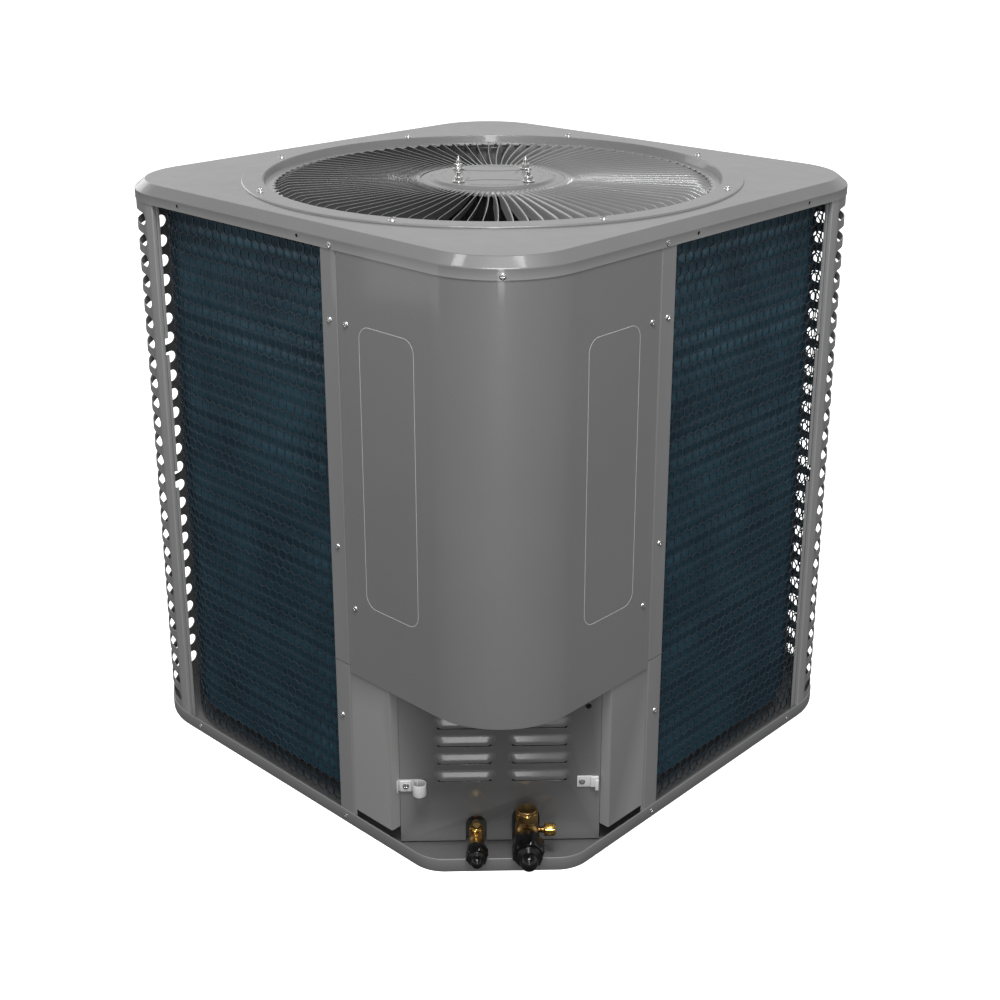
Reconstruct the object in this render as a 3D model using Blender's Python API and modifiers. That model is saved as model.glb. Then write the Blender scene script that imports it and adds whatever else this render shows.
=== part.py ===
"""Top-discharge heat pump outdoor unit, about 0.71 m square and 0.77 m tall.

Metres, +Z up, origin at the middle of the base's underside. The service corner, with the
recess and the two service valves, points along +X -Y. Pieces of that corner are placed in a
service frame whose local X runs out along the diagonal and whose local Y runs to the right.
"""

import bmesh
import bpy
from math import cos, pi, radians, sin, sqrt, tan
from mathutils import Matrix, Vector

# Outline, whose corners all have the same number of facets, so that nested sheets stay parallel
SIDE = 0.710
HALF = SIDE / 2
CORNER_R = 0.108
CORNER_STEPS = 5
SHEET = 0.0012
GAP = 0.0003

# Base pan
PAN_SHEET = 0.0015
RIM_Z = 0.0175
BASE_CUT = 0.414          # from the centre to the flat front corner, along the diagonal
BASE_CUT_R = 0.050

# Top cover
TOP_Z = 0.7535
CHAMFER_IN = 0.013
CHAMFER_Z = 0.743
SKIRT_Z = 0.731
OPENING_R = 0.2935

# Skin, the plane of posts and cover, just inside the skirt and the rim
SKIN = HALF - PAN_SHEET - GAP
SKIN_R = CORNER_R - PAN_SHEET - GAP
SKIN_LOW = PAN_SHEET + 0.002
SKIN_HIGH = 0.739

# Slotted corner posts
POST_REACH = 0.110        # from the virtual corner to the post's edge
POST_RETURN = 0.0105
SLOT_COUNT = 26
SLOT_TOP = 0.7095
SLOT_PITCH = 0.027
SLOT_R = 0.0082
SLOT_HALF = 0.066
SLOT_END_STEPS = 2

# Front posts, side panels and service cover, measured along a face from its middle
POST_EDGE = 0.0745
JOGGLE = 0.0990
COVER_EDGE = 0.1015
JOGGLE_DEPTH = SHEET + 0.0005
SPLIT_Z = 0.2242
COVER_LOW = 0.216
COVER_SCREW, COVER_SCREW_HIGH, COVER_SCREW_LOW = 0.1145, 0.6495, 0.304
SCREW_R, SCREW_HEIGHT = 0.0038, 0.0014
RECESS_EDGE = 0.1674
RECESS_RETURN_Y = 0.338
PANEL_LIFT = 0.0255

# Valve panel, in the service frame
PANEL_D = 0.3574
PANEL_HALF = 0.1185
LOUVRE_PITCH = 0.0239
LOUVRE_TOP = 0.185
LOUVRE_COLUMNS = ((-0.0795, -0.0055), (0.0095, 0.0845))

# Guard and fan
VANES = 96
VANE_LEAN, VANE_DROP, VANE_THICK = 0.009, 0.009, 0.0022
RING_IN, RING_OUT = 0.2925, 0.3195
RING_Z = TOP_Z + GAP + 0.002
HUB_R, HUB_RAISED_R = 0.0955, 0.080
HUB_Z = 0.7485
HUB_RAISED_Z = 0.7515
STUD_SQUARE = 0.088
STUD_R = 0.0028
FAN_R = 0.271
FAN_BLADES = 4

# Coil
COIL_IN = 0.024
COIL_R = 0.131
COIL_DEPTH = 0.036
COIL_LOW, COIL_HIGH = 0.012, 0.729
COIL_END = 0.085
RETURN_BENDS = 6
NET_IN = 0.0165

# Compressor and its feet
COMPRESSOR = Vector((-0.03, 0.03, 0))
FEET_R = 0.078
FOOT_STUD_R = 0.0038
FOOT_STUD_TOP = 0.050

# Service valves, in the service frame
GAS_LAT, GAS_D, GAS_Z = 0.031, 0.385, 0.0365
LIQ_LAT, LIQ_D, LIQ_Z = -0.029, 0.391, 0.0315

for old in list(bpy.data.objects):
    bpy.data.objects.remove(old, do_unlink=True)

parts = bpy.data.collections.new("heat_pump_unit")
cutters = bpy.data.collections.new("cutters")
for group in (parts, cutters):
    bpy.context.scene.collection.children.link(group)


def material(name, colour, roughness, metallic=0.0):
    made = bpy.data.materials.new(name)
    made.use_nodes = True
    shader = made.node_tree.nodes["Principled BSDF"]
    shader.inputs["Base Color"].default_value = (*colour, 1.0)
    shader.inputs["Roughness"].default_value = roughness
    shader.inputs["Metallic"].default_value = metallic
    return made


def painted(name, shade=0.30):
    return material(name + "_paint", (shade, shade, shade), 0.35)


def empty(name, location=(0, 0, 0), turn=0.0, parent=None):
    made = bpy.data.objects.new(name, None)
    made.location = location
    made.rotation_euler = (0, 0, turn)
    made.parent = parent
    parts.objects.link(made)
    return made


SERVICE = empty("service_frame", turn=-pi / 4)
FAN_AXIS = empty("fan_axis")


def add(name, bm, look, parent=None, cutter=False):
    """Makes an object from a bmesh. A look is a material, and a cutter has none."""
    mesh = bpy.data.meshes.new(name)
    bm.to_mesh(mesh)
    bm.free()
    made = bpy.data.objects.new(name, mesh)
    made.parent = parent
    if cutter:
        made.hide_render = True
        made.display_type = "WIRE"
        cutters.objects.link(made)
    else:
        mesh.materials.append(look)
        parts.objects.link(made)
    return made


def boolean(target, tool, operation="DIFFERENCE"):
    cut = target.modifiers.new(operation.lower(), "BOOLEAN")
    cut.operation = operation
    cut.object = tool
    return target


def solidify(target, thickness, offset=-1.0):
    thick = target.modifiers.new("thickness", "SOLIDIFY")
    thick.thickness = thickness
    thick.offset = offset
    thick.use_even_offset = True
    return target


def add_block(bm, low, high):
    low, high = Vector(low), Vector(high)
    size = high - low
    place = Matrix.Translation((low + high) / 2) @ Matrix.Diagonal((*size, 1))
    bmesh.ops.create_cube(bm, size=1.0, matrix=place)


def add_cylinder(bm, centre, radius, depth, axis="Z", sides=16, radius_2=None):
    turn = {"X": Matrix.Rotation(pi / 2, 4, "Y"), "Y": Matrix.Rotation(-pi / 2, 4, "X"),
            "Z": Matrix.Identity(4)}[axis]
    bmesh.ops.create_cone(bm, cap_ends=True, segments=sides, radius1=radius,
                          radius2=radius if radius_2 is None else radius_2, depth=depth,
                          matrix=Matrix.Translation(centre) @ turn)


def block(name, low, high, look=None, parent=None, cutter=False):
    bm = bmesh.new()
    add_block(bm, low, high)
    return add(name, bm, look, parent, cutter)


def cylinder(name, centre, radius, depth, look=None, parent=None, cutter=False, **shape):
    bm = bmesh.new()
    add_cylinder(bm, centre, radius, depth, **shape)
    return add(name, bm, look, parent, cutter)


def turned(name, profile, look, location=(0, 0, 0), parent=None, sides=24, closed=False):
    """A turned shape. The profile is (radius, z), down the outer side from the top."""
    bm = bmesh.new()
    points = [bm.verts.new((r, 0, z)) for r, z in profile]
    for a, b in zip(points, points[1:]):
        bm.edges.new((a, b))
    if closed:
        bm.edges.new((points[-1], points[0]))
    made = add(name, bm, look, parent)
    made.location = location
    screw = made.modifiers.new("turn", "SCREW")
    screw.steps = screw.render_steps = sides
    screw.use_merge_vertices = True
    screw.merge_threshold = 0.00001
    return made


def tube(name, points, radius, look, parent=None, resolution=2, cyclic=False):
    curve = bpy.data.curves.new(name, "CURVE")
    curve.dimensions = "3D"
    curve.bevel_depth = radius
    curve.bevel_resolution = resolution
    curve.use_fill_caps = not cyclic
    line = curve.splines.new("POLY")
    line.points.add(len(points) - 1)
    for spot, point in zip(line.points, points):
        spot.co = (*point, 1.0)
    line.use_cyclic_u = cyclic
    if look:
        curve.materials.append(look)
    made = bpy.data.objects.new(name, curve)
    made.parent = parent
    parts.objects.link(made)
    return made


def meshed(bend):
    """A curve object made a closed mesh among the cutters."""
    bpy.context.view_layer.update()
    depsgraph = bpy.context.evaluated_depsgraph_get()
    mesh = bpy.data.meshes.new_from_object(bend.evaluated_get(depsgraph))
    bm = bmesh.new()
    bm.from_mesh(mesh)
    bmesh.ops.remove_doubles(bm, verts=bm.verts, dist=0.00001)
    made = add(bend.name + "_mesh", bm, None, cutter=True)
    made.matrix_world = bend.matrix_world
    bpy.data.objects.remove(bend, do_unlink=True)
    return made


def arc(centre, start, end, steps):
    """Points on a short arc about a centre, from its start to its end."""
    whole = start.angle(end)
    return [centre + (start * sin(whole * (1 - k / steps)) + end * sin(whole * k / steps)) / sin(whole)
            for k in range(steps + 1)]


def bent(points, radius, steps=4):
    """A 3-D polyline whose inner corners are rounded with arcs of one radius."""
    points = [Vector(p) for p in points]
    route = [points[0]]
    for before, corner, after in zip(points, points[1:], points[2:]):
        u, v = (before - corner).normalized(), (after - corner).normalized()
        half = u.angle(v) / 2
        reach = radius / tan(half)
        centre = corner + (u + v).normalized() * (radius / sin(half))
        route += arc(centre, corner + u * reach - centre, corner + v * reach - centre, steps)
    return route + [points[-1]]


def rounded(corners, steps=CORNER_STEPS):
    """A counter-clockwise outline with an arc at each (x, y, radius) corner."""
    outline = []
    count = len(corners)
    for i, (x, y, r) in enumerate(corners):
        corner = Vector((x, y))
        u = (Vector(corners[i - 1][:2]) - corner).normalized()
        v = (Vector(corners[(i + 1) % count][:2]) - corner).normalized()
        half = u.angle(v) / 2
        centre = corner + (u + v).normalized() * (r / sin(half))
        reach = r / tan(half)
        outline += arc(centre, corner + u * reach - centre, corner + v * reach - centre, steps)
    return [tuple(point) for point in outline]


def square_outline(half, radius):
    return rounded([(half, -half, radius), (half, half, radius), (-half, half, radius),
                    (-half, -half, radius)])


def base_outline(inset=0.0):
    """The square with its front corner cut flat at BASE_CUT."""
    half, radius = HALF - inset, CORNER_R - inset
    cut = (BASE_CUT - inset) * sqrt(2) - half
    return rounded([(half, -cut, BASE_CUT_R), (half, half, radius), (-half, half, radius),
                    (-half, -half, radius), (cut, -half, BASE_CUT_R)])


def loft(loops, cap_low=False, cap_high=False):
    """Joins equal loops of (x, y, z) points, counter-clockwise and listed upwards."""
    bm = bmesh.new()
    rings = [[bm.verts.new(p) for p in loop] for loop in loops]
    for low, high in zip(rings, rings[1:]):
        for i in range(len(low)):
            j = (i + 1) % len(low)
            bm.faces.new((low[i], low[j], high[j], high[i]))
    if cap_low:
        bm.faces.new(reversed(rings[0]))
    if cap_high:
        bm.faces.new(rings[-1])
    return bm


def level(outline, z):
    return [(x, y, z) for x, y in outline]


def folded(name, path, low, high, look, thickness=SHEET, parent=None):
    """Upright sheet metal along a plan path. Its outer face is to the path's right."""
    bm = bmesh.new()
    foot = [bm.verts.new((x, y, low)) for x, y in path]
    edges = [bm.edges.new(pair) for pair in zip(foot, foot[1:])]
    raised = bmesh.ops.extrude_edge_only(bm, edges=edges)["geom"]
    tops = [v for v in raised if isinstance(v, bmesh.types.BMVert)]
    bmesh.ops.translate(bm, vec=(0, 0, high - low), verts=tops)
    bmesh.ops.recalc_face_normals(bm, faces=bm.faces)
    first = min(bm.faces, key=lambda f: (f.calc_center_median() - foot[0].co).length)
    along = foot[1].co - foot[0].co
    if first.normal.dot(Vector((along.y, -along.x, 0))) < 0:
        bmesh.ops.reverse_faces(bm, faces=bm.faces)
    return solidify(add(name, bm, look, parent), thickness)


def turned_path(path, quarters):
    """A plan path turned by quarter turns about the centre."""
    turn = Matrix.Rotation(quarters * pi / 2, 2)
    return [tuple(turn @ Vector(p)) for p in path]


def mirrored_path(path):
    """A plan path mirrored across the service diagonal, still counter-clockwise."""
    return [(-y, -x) for x, y in reversed(path)]


def corner_arc(half, radius, steps=CORNER_STEPS):
    """The +X +Y corner's arc, from the +X face to the +Y face."""
    centre = half - radius
    return [(centre + radius * cos(k * pi / 2 / steps), centre + radius * sin(k * pi / 2 / steps))
            for k in range(steps + 1)]


ZINC = (0.62, 0.62, 0.60)
BRASS = (0.78, 0.55, 0.20)
COPPER = (0.72, 0.38, 0.22)


# Base, posts and panels

def base_pan():
    pan = add("base_pan", loft([level(base_outline(), 0), level(base_outline(), RIM_Z)],
                               cap_low=True), painted("base_pan", 0.26))
    solidify(pan, PAN_SHEET)
    studs = bmesh.new()
    for x, y in foot_spots():
        add_cylinder(studs, (x, y, FOOT_STUD_TOP / 2 + 0.0005), FOOT_STUD_R, FOOT_STUD_TOP - 0.001,
                     sides=8)
    return boolean(pan, add("foot_studs", studs, None, cutter=True), "UNION")


def foot_spots():
    """The compressor's three studs, spaced evenly round it."""
    return [(COMPRESSOR.x + FEET_R * cos(a), COMPRESSOR.y + FEET_R * sin(a))
            for a in (pi / 2 + k * 2 * pi / 3 for k in range(3))]


def slot_cutter(name, quarters):
    """Round-ended bars through one corner, along that corner's diagonal."""
    bm = bmesh.new()
    for k in range(SLOT_COUNT):
        z = SLOT_TOP - k * SLOT_PITCH
        ring = []
        for side in (1, -1):
            for step in range(SLOT_END_STEPS + 1):
                a = side * pi / 2 - step * pi / SLOT_END_STEPS
                ring.append((side * (SLOT_HALF - SLOT_R) + SLOT_R * cos(a), z + SLOT_R * sin(a)))
        face = bm.faces.new([bm.verts.new((0.427, y, zz)) for y, zz in ring])
        made = bmesh.ops.extrude_face_region(bm, geom=[face])["geom"]
        bmesh.ops.translate(bm, vec=(0.04, 0, 0),
                            verts=[v for v in made if isinstance(v, bmesh.types.BMVert)])
    bmesh.ops.recalc_face_normals(bm, faces=bm.faces)
    made = add(name, bm, None, cutter=True)
    made.rotation_euler = (0, 0, pi / 4 + quarters * pi / 2)
    return made


def corner_post(name, quarters):
    reach = HALF - POST_REACH
    path = [(SKIN - POST_RETURN, reach), (SKIN, reach), *corner_arc(SKIN, SKIN_R),
            (reach, SKIN), (reach, SKIN - POST_RETURN)]
    post = folded(name, turned_path(path, quarters), SKIN_LOW, SKIN_HIGH, painted(name))
    return boolean(post, slot_cutter(name + "_slots", quarters))


def front_post_path(inner_edge):
    """The left front post: return, strip, joggle behind the cover and flat."""
    deep = SKIN - JOGGLE_DEPTH
    return [(POST_EDGE, -SKIN + POST_RETURN), (POST_EDGE, -SKIN), (JOGGLE, -SKIN),
            (JOGGLE + 0.001, -deep), (inner_edge, -deep)]


def front_posts():
    path = front_post_path(0.135)
    for name, plan in (("front_post_left", path), ("front_post_right", mirrored_path(path))):
        folded(name, plan, SPLIT_Z + GAP, SKIN_HIGH, painted(name))


def side_panels():
    path = front_post_path(RECESS_EDGE) + [(RECESS_EDGE, -RECESS_RETURN_Y)]
    clear = SKIN_LOW + 0.01
    for name, plan, low, high in (
            ("side_panel_left", path, (0.103, -0.36, -clear), (0.18, -0.33, PANEL_LIFT)),
            ("side_panel_right", mirrored_path(path), (0.33, -0.18, -clear),
             (0.36, -0.103, PANEL_LIFT))):
        panel = folded(name, plan, SKIN_LOW, SPLIT_Z, painted(name))
        boolean(panel, block(name + "_lift", low, high, cutter=True))


def service_cover():
    arc = [(x, -y) for x, y in reversed(corner_arc(SKIN, SKIN_R))]
    path = [(COVER_EDGE, -SKIN), *arc, (SKIN, -COVER_EDGE)]
    return folded("service_cover", path, COVER_LOW, SKIN_HIGH, painted("service_cover"))


def valve_panel():
    """The louvred plate across the recess, with a notch for each valve."""
    back, top = PANEL_D - SHEET, COVER_LOW + 0.022
    panel = block("valve_panel", (back, -PANEL_HALF, SKIN_LOW), (PANEL_D, PANEL_HALF, top),
                  painted("valve_panel", 0.22), SERVICE)
    slots = bmesh.new()
    for y0, y1 in LOUVRE_COLUMNS:
        for k in range(5):
            z = LOUVRE_TOP - k * LOUVRE_PITCH
            add_block(slots, (back - 0.004, y0 + 0.004, z), (PANEL_D + 0.004, y1 - 0.004, z + 0.005))
    boolean(panel, add("louvre_slots", slots, None, SERVICE, cutter=True))
    for name, lat, z, r in (("gas_notch", GAS_LAT, GAS_Z, 0.0165),
                            ("liquid_notch", LIQ_LAT, LIQ_Z - 0.002, 0.0125)):
        notch = bmesh.new()
        add_block(notch, (back - 0.01, lat - r, -0.01), (PANEL_D + 0.01, lat + r, z))
        boolean(panel, add(name, notch, None, SERVICE, cutter=True))
        round_top = cylinder(name + "_top", (PANEL_D, lat, z), r, 0.03, parent=SERVICE, cutter=True,
                             axis="X", sides=24)
        boolean(panel, round_top)
    return panel


# Top cover, guard and fan

def top_cover():
    inner = HALF - CHAMFER_IN
    cover = add("top_cover", loft([level(square_outline(HALF, CORNER_R), SKIRT_Z),
                                   level(square_outline(HALF, CORNER_R), CHAMFER_Z),
                                   level(square_outline(inner, CORNER_R - CHAMFER_IN), TOP_Z)],
                                  cap_high=True), painted("top_cover", 0.34))
    solidify(cover, SHEET)
    return boolean(cover, cylinder("cover_opening", (0, 0, TOP_Z), OPENING_R, 0.05, cutter=True,
                                   sides=48))


def vane_tools():
    """Every vane as a thin closed wedge, sloping down clockwise seen from above."""
    bm = bmesh.new()
    crest = ((0.092, HUB_Z - 0.0004), (0.262, 0.7503), (0.2812, 0.7436))
    for k in range(VANES):
        angle = 2 * pi * (k + 0.37) / VANES
        out = Vector((cos(angle), sin(angle), 0))
        clockwise = Vector((sin(angle), -cos(angle), 0))
        rings = []
        for r, z in crest:
            top = out * r + Vector((0, 0, z))
            low = top + clockwise * VANE_LEAN - Vector((0, 0, VANE_DROP))
            rings.append([bm.verts.new(p) for p in (top, low, low - clockwise * VANE_THICK)])
        for a, b in zip(rings, rings[1:]):
            for i in range(3):
                j = (i + 1) % 3
                bm.faces.new((a[i], a[j], b[j], b[i]))
        bm.faces.new(rings[0])
        bm.faces.new(reversed(rings[-1]))
    bmesh.ops.recalc_face_normals(bm, faces=bm.faces)
    return add("guard_vanes", bm, None, cutter=True)


def fan_guard():
    under = RING_Z - 0.002
    ring = [(RING_IN, RING_Z), (RING_OUT - 0.001, RING_Z), (RING_OUT, under), (RING_IN - 0.0002, under),
            (0.2842, 0.7428), (0.2785, 0.7428), (0.2785, 0.7440), (0.2838, 0.7440)]
    guard = turned("fan_guard", ring, painted("fan_guard", 0.34), sides=48, closed=True)
    hub = [(0, HUB_RAISED_Z), (HUB_RAISED_R - 0.004, HUB_RAISED_Z), (HUB_RAISED_R, HUB_Z),
           (HUB_R, HUB_Z), (HUB_R, HUB_Z - 0.0035), (HUB_RAISED_R - 0.002, HUB_Z - 0.0035),
           (HUB_RAISED_R - 0.004, HUB_RAISED_Z - 0.0015), (0, HUB_RAISED_Z - 0.0015)]
    plate = turned("guard_hub", hub, None, sides=32)
    parts.objects.unlink(plate)
    cutters.objects.link(plate)
    plate.hide_render, plate.display_type = True, "WIRE"
    plate.data.materials.clear()
    boolean(guard, vane_tools(), "UNION")
    boolean(guard, plate, "UNION")
    holes = bmesh.new()
    for x, y in stud_spots():
        add_cylinder(holes, (x, y, HUB_Z), STUD_R + 0.0006, 0.03, sides=10)
    return boolean(guard, add("stud_holes", holes, None, cutter=True))


def stud_spots():
    """The four motor studs, in a square set along the service diagonal."""
    turn = Matrix.Rotation(-pi / 4, 2)
    half = STUD_SQUARE / 2
    return [tuple(turn @ Vector((sx * half, sy * half))) for sx in (-1, 1) for sy in (-1, 1)]


def fan_shroud():
    top = TOP_Z - SHEET - GAP
    profile = [(0.2985, top), (0.322, top), (0.322, top - SHEET), (0.2980, top - SHEET),
               (0.2885, 0.7400), (0.2870, 0.6720), (0.2905, 0.6620), (0.2890, 0.6615),
               (0.2855, 0.6710), (0.2870, 0.7410)]
    return turned("fan_shroud", profile, painted("fan_shroud", 0.2), sides=40, closed=True)


MOTOR_TOP = HUB_RAISED_Z - 0.0015 - GAP


def fan_motor():
    profile = [(0, MOTOR_TOP), (0.072, MOTOR_TOP), (0.072, MOTOR_TOP - 0.004), (0.066, MOTOR_TOP - 0.008),
               (0.066, 0.668), (0.060, 0.656), (0.022, 0.653), (0.022, 0.646), (0.0085, 0.646),
               (0.0085, 0.664), (0, 0.664)]
    motor = turned("fan_motor", profile, material("motor_paint", (0.05, 0.05, 0.055), 0.4))
    studs = bmesh.new()
    low, high = MOTOR_TOP - 0.003, HUB_RAISED_Z + 0.0175
    for x, y in stud_spots():
        add_cylinder(studs, (x, y, (low + high) / 2), STUD_R, high - low, sides=8)
    return boolean(motor, add("motor_studs", studs, None, cutter=True), "UNION")


def motor_nuts():
    look = material("nut_zinc", ZINC, 0.25, 1.0)
    base = HUB_RAISED_Z + GAP
    for k, (x, y) in enumerate(stud_spots(), 1):
        nut = cylinder(f"motor_nut_{k}", (x, y, base + 0.001), 0.0080, 0.002, look, sides=10)
        boolean(nut, cylinder(f"nut_hexagon_{k}", (x, y, base + 0.004), 0.0056, 0.0065, cutter=True,
                              sides=6), "UNION")
        boolean(nut, cylinder(f"nut_bore_{k}", (x, y, base), STUD_R + 0.0004, 0.04, cutter=True,
                              sides=8))


SHAFT_LOW = 0.594


def fan_parts():
    """Shaft, propeller and nut, which turn together about the centre line."""
    cylinder("motor_shaft", (0, 0, (SHAFT_LOW + 0.6635) / 2), 0.006, 0.6635 - SHAFT_LOW,
             material("shaft_steel", (0.55, 0.55, 0.56), 0.25, 1.0), FAN_AXIS, sides=16)
    hub = [(0.0066, 0.640), (0.030, 0.640), (0.044, 0.630), (0.044, 0.602), (0.0066, 0.602)]
    fan = turned("fan_propeller", hub, material("fan_plastic", (0.12, 0.12, 0.125), 0.5),
                 parent=FAN_AXIS, closed=True)
    boolean(fan, blade_tools(), "UNION")
    nut = [(0.0074, 0.6015), (0.013, 0.6015), (0.011, 0.5955), (0.0074, 0.5955)]
    turned("fan_nut", nut, material("fan_nut_zinc", ZINC, 0.3, 1.0), parent=FAN_AXIS, sides=6,
           closed=True)


def blade_tools():
    """Twisted, swept blades, each a closed loft from the hub to the tip."""
    bm = bmesh.new()
    stations = 5
    for blade in range(FAN_BLADES):
        rings = []
        for s in range(stations):
            t = s / (stations - 1)
            r = 0.036 + (FAN_R - 0.036) * t
            span = radians(58 - 10 * t)
            pitch = 0.048 + 0.030 * sin(pi * min(t * 1.1, 1) / 2)
            middle = 0.620 + 0.058 * t ** 0.8
            ring = []
            for side in (1, -1):
                for c in range(5):
                    u = (c / 4 if side > 0 else 1 - c / 4) - 0.5
                    a = 2 * pi * blade / FAN_BLADES + u * span + 0.30 * t ** 2
                    z = middle + u * pitch - 0.010 * (1 - 4 * u * u)
                    thick = 0.0011 if abs(u) > 0.45 else 0.0018
                    ring.append(bm.verts.new((r * cos(a), r * sin(a), z + side * thick)))
            rings.append(ring)
        for a, b in zip(rings, rings[1:]):
            for i in range(len(a)):
                j = (i + 1) % len(a)
                bm.faces.new((a[i], a[j], b[j], b[i]))
        bm.faces.new(rings[0])
        bm.faces.new(reversed(rings[-1]))
    bmesh.ops.recalc_face_normals(bm, faces=bm.faces)
    return add("blade_tools", bm, None, FAN_AXIS, cutter=True)


# Coil and netting

def around_path(inset, radius, end):
    """From the right front post round three corners to the left front post."""
    half = HALF - inset
    path = [(half, -end)]
    for quarters in range(3):
        path += turned_path(corner_arc(half, radius), quarters)
    return path + [(end, -half)]


def coil():
    fins = material("coil_fins", (0.05, 0.13, 0.16), 0.45, 0.3)
    folded("condenser_coil", around_path(COIL_IN, COIL_R, COIL_END), COIL_LOW, COIL_HIGH, fins,
           COIL_DEPTH)
    net = material("net_plastic", (0.02, 0.02, 0.02), 0.5)
    folded("coil_guard_net", around_path(NET_IN, COIL_R + 0.0075, POST_EDGE - 0.002),
           COIL_LOW, COIL_HIGH, net, 0.0016)
    outer, inner = HALF - COIL_IN, HALF - COIL_IN - COIL_DEPTH
    galvanised = material("galvanised_plate", (0.5, 0.51, 0.52), 0.35, 1.0)
    edge = COIL_END + GAP
    left = block("coil_end_plate_left", (edge, -outer, COIL_LOW), (edge + SHEET, -inner, COIL_HIGH),
                 galvanised)
    block("coil_end_plate_right", (inner, -edge - SHEET, COIL_LOW), (outer, -edge, COIL_HIGH),
          galvanised)
    middle = (outer + inner) / 2
    for k in range(RETURN_BENDS):
        boolean(left, return_bend(f"return_bend_{k}", edge + SHEET / 2, -middle, 0.075 + k * 0.108),
                "UNION")
    return edge + SHEET + GAP, middle


def return_bend(name, x, y, low):
    """A U of tube that joins two runs of the coil, as a cutter-side mesh."""
    reach, rise = 0.016, 0.030
    bend = tube(name, bent([(x, y, low), (x + reach, y, low), (x + reach, y, low + rise),
                            (x, y, low + rise)], 0.0145, 3), 0.004, None)
    return meshed(bend)


def header_and_distributor(face, middle):
    copper = material("copper_tube", COPPER, 0.3, 1.0)
    brass = material("distributor_brass", BRASS, 0.3, 1.0)
    turned("gas_header", [(0, 0.66), (0.007, 0.66), (0.0095, 0.655), (0.0095, 0.095), (0.007, 0.09),
                          (0, 0.09)], copper, location=(middle, -face - 0.013, 0), sides=14)
    turned("liquid_distributor", [(0, 0.36), (0.011, 0.36), (0.014, 0.35), (0.006, 0.325),
                                  (0.006, 0.31), (0, 0.31)], brass,
           location=(middle - 0.055, -face - 0.02, 0), sides=14)
    return copper, brass


# Refrigeration circuit inside

def compressor():
    black = material("compressor_paint", (0.02, 0.02, 0.022), 0.35)
    profile = [(0, 0.302), (0.030, 0.298), (0.052, 0.286), (0.062, 0.266), (0.062, 0.072),
               (0.056, 0.052), (0.056, 0.0405), (0.092, 0.0405), (0.092, 0.0365), (0, 0.0365)]
    shell = turned("compressor_shell", profile, black, location=COMPRESSOR)
    holes = bmesh.new()
    for x, y in foot_spots():
        add_cylinder(holes, (x, y, 0.038), FOOT_STUD_R + 0.0014, 0.02, sides=10)
    boolean(shell, add("foot_holes", holes, None, cutter=True))
    rubber = material("foot_rubber", (0.03, 0.03, 0.03), 0.8)
    low, high = PAN_SHEET + GAP, 0.0362
    for k, (x, y) in enumerate(foot_spots(), 1):
        foot = cylinder(f"compressor_foot_{k}", (x, y, (low + high) / 2), 0.012, high - low, rubber,
                        sides=14)
        boolean(foot, cylinder(f"foot_bore_{k}", (x, y, 0.02), FOOT_STUD_R + 0.001, 0.06, cutter=True,
                               sides=10))
    cap = block("compressor_terminal_cover", (-0.024, -0.018, 0.3036), (0.024, 0.018, 0.330),
                material("terminal_plastic", (0.04, 0.04, 0.04), 0.5))
    cap.location = COMPRESSOR + Vector((0.0, -0.004, 0))
    tank = [(0, 0.262), (0.018, 0.258), (0.030, 0.246), (0.034, 0.232), (0.034, 0.082),
            (0.028, 0.066), (0.012, 0.058), (0, 0.056)]
    turned("suction_accumulator", tank, black, location=COMPRESSOR + Vector((-0.088, 0.052, 0)),
           sides=20)


def reversing_valve(copper, brass):
    body = bmesh.new()
    add_cylinder(body, (0.06, 0.10, 0.430), 0.0135, 0.100, axis="X", sides=16)
    valve = add("four_way_valve", body, brass)
    for k, x in enumerate((0.035, 0.060, 0.085)):
        stub = cylinder(f"four_way_stub_{k}", (x, 0.10, 0.408), 0.0062, 0.032, cutter=True, sides=12)
        boolean(valve, stub, "UNION")
    boolean(valve, cylinder("four_way_top", (0.060, 0.10, 0.452), 0.0055, 0.032, cutter=True,
                            sides=12), "UNION")
    block("reversing_solenoid", (0.042, 0.072, 0.418), (0.078, 0.0862, 0.442),
          material("solenoid_plastic", (0.03, 0.03, 0.035), 0.5))
    turned("expansion_valve", [(0, 0.240), (0.012, 0.240), (0.013, 0.205), (0.008, 0.200),
                               (0.008, 0.175), (0, 0.175)], brass, location=(0.165, -0.060, 0),
           sides=14)
    turned("filter_drier", [(0, 0.150), (0.004, 0.150), (0.0125, 0.138), (0.0125, 0.088),
                            (0.004, 0.076), (0, 0.076)], copper, location=(0.165, -0.060, 0),
           sides=14)


def pipes(copper):
    c = COMPRESSOR
    tube("discharge_pipe", bent([(c.x + 0.034, c.y + 0.030, 0.3000), (c.x + 0.034, c.y + 0.030, 0.500),
                                 (0.060, 0.10, 0.500), (0.060, 0.10, 0.4685)], 0.014), 0.0048, copper)
    tube("suction_pipe", bent([(c.x - 0.088, c.y + 0.052, 0.2625), (c.x - 0.088, c.y + 0.052, 0.370),
                               (0.060, 0.10, 0.370), (0.060, 0.10, 0.3915)], 0.010), 0.0058, copper)
    gas_end = Vector((GAS_D - 0.040, GAS_LAT, GAS_Z))
    tube("gas_pipe", bent([gas_end, (0.300, GAS_LAT, GAS_Z), (0.300, GAS_LAT, 0.330)], 0.024),
         0.0075, copper, SERVICE)
    liquid_end = Vector((LIQ_D - 0.046, LIQ_LAT, LIQ_Z))
    tube("liquid_pipe", bent([liquid_end, (0.310, LIQ_LAT, LIQ_Z), (0.310, LIQ_LAT, 0.300)], 0.02),
         0.0045, copper, SERVICE)


# Service valves

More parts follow.
